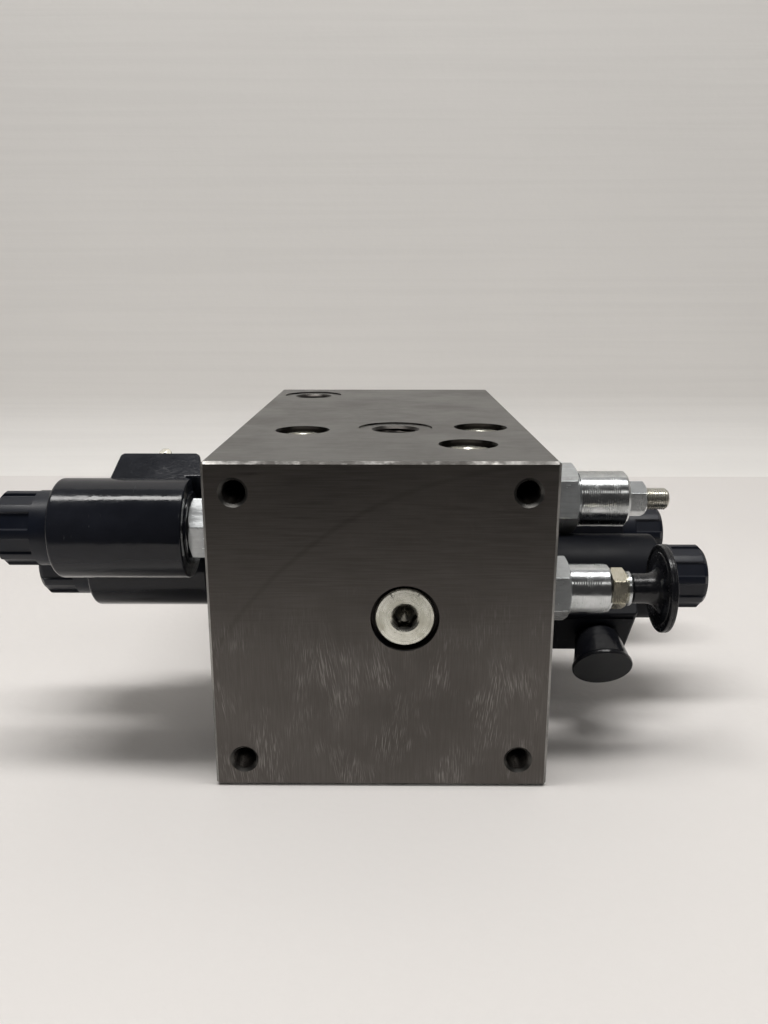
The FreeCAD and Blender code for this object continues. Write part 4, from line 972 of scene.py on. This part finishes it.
def sweep():
    """Pale floor that ends in front of the block and runs back to a pale board."""
    front_y, bend_y, bend_r, top = -0.34, 0.52, 0.08, 1.6
    profile = [(front_y, 0.0), (-0.1, 0.0), (0.2, 0.0), (bend_y - bend_r, 0.0)]
    profile += [(bend_y - bend_r + bend_r * math.sin(t), bend_r * (1 - math.cos(t)))
                for t in np.linspace(0.15, math.pi / 2, 10)]
    profile += [(bend_y, 0.4), (bend_y, top)]
    split_at = 5
    for name, part, paint in (("floor", profile[:split_at], FLOOR),
                              ("board", profile[split_at - 1:], BOARD)):
        points = [(x, y, z - STAGE_DROP) for y, z in part for x in (-STAGE_REACH, STAGE_REACH)]
        faces = [(2 * i, 2 * i + 1, 2 * i + 3, 2 * i + 2) for i in range(len(part) - 1)]
        mesh = bpy.data.meshes.new(name)
        mesh.from_pydata(points, [], faces)
        mesh.shade_smooth()
        mesh.materials.append(paint)
        made = bpy.data.objects.new(name, mesh)
        bpy.context.scene.collection.objects.link(made)


STAGE_REACH = 12.0
STAGE_DROP = 0.0002
FLOOR = paper("pale_floor", (0.775, 0.75, 0.73), False)
BOARD = paper("pale_board", (0.86, 0.845, 0.82), True)
sweep()


def lamp(name, location, target, size, power, color):
    data = bpy.data.lights.new(name, "AREA")
    data.shape = "RECTANGLE"
    data.size, data.size_y = size
    data.energy = power
    data.color = color
    made = bpy.data.objects.new(name, data)
    bpy.context.scene.collection.objects.link(made)
    made.location = location
    aim = Vector(target) - Vector(location)
    made.rotation_euler = aim.to_track_quat("-Z", "Y").to_euler()
    return made


TUBE_LIGHT = (1.0, 0.985, 0.965)
WARM_LIGHT = (1.0, 0.97, 0.93)
lamp("ceiling", (-0.275, -0.20, 1.7), (-0.275, -0.12, 0), (1.25, 0.26), 18.4, TUBE_LIGHT)
lamp("ceiling_end", (0.625, -0.20, 1.7), (0.625, -0.12, 0), (0.55, 0.26), 6.2, TUBE_LIGHT)
fill = lamp("near_fill", (0, -0.72, 0.55), (0, -0.36, 0), (1.2, 0.2), 0.8, TUBE_LIGHT)
fill.visible_glossy = False
lamp("room_light", (0.35, -1.9, 1.7), (0, 0, 0.05), (1.2, 0.35), 2.0, WARM_LIGHT)

DARK_SIDE = (0.06, 0.058, 0.057, 1)
PALE_SIDE = (0.45, 0.445, 0.44, 1)
BACKDROP = (0.88, 0.85, 0.82, 1)


def room():
    """Dark towards the front and pale towards the rear; past the stage it looks pale."""
    world = bpy.data.worlds.new("room")
    bpy.context.scene.world = world
    world.use_nodes = True
    tree = world.node_tree
    background = tree.nodes["Background"]
    direction = tree.nodes.new("ShaderNodeTexCoord")
    split = tree.nodes.new("ShaderNodeSeparateXYZ")
    tree.links.new(direction.outputs["Generated"], split.inputs[0])
    ease = tree.nodes.new("ShaderNodeMapRange")
    ease.interpolation_type = "SMOOTHSTEP"
    ease.inputs["From Min"].default_value = -0.55
    ease.inputs["From Max"].default_value = 0.35
    tree.links.new(split.outputs[1], ease.inputs["Value"])
    tone = tree.nodes.new("ShaderNodeMix")
    tone.data_type = "RGBA"
    tone.inputs[6].default_value = DARK_SIDE
    tone.inputs[7].default_value = PALE_SIDE
    tree.links.new(ease.outputs[0], tone.inputs["Factor"])
    rays = tree.nodes.new("ShaderNodeLightPath")
    seen = tree.nodes.new("ShaderNodeMix")
    seen.data_type = "RGBA"
    seen.inputs[7].default_value = BACKDROP
    tree.links.new(rays.outputs["Is Camera Ray"], seen.inputs["Factor"])
    tree.links.new(tone.outputs[2], seen.inputs[6])
    tree.links.new(seen.outputs[2], background.inputs["Color"])
    background.inputs["Strength"].default_value = 0.75


room()

lens = bpy.data.cameras.new("view")
lens.lens = 29.76
lens.sensor_width = 36.0
lens.clip_start = 0.01
camera = bpy.data.objects.new("view", lens)
bpy.context.scene.collection.objects.link(camera)
camera.location = (0.00303, -0.40362, 0.17971)
camera.rotation_euler = (math.radians(90 - 14.227), 0, math.radians(0.380))
bpy.context.scene.camera = camera
bpy.context.scene.view_settings.view_transform = "Standard"
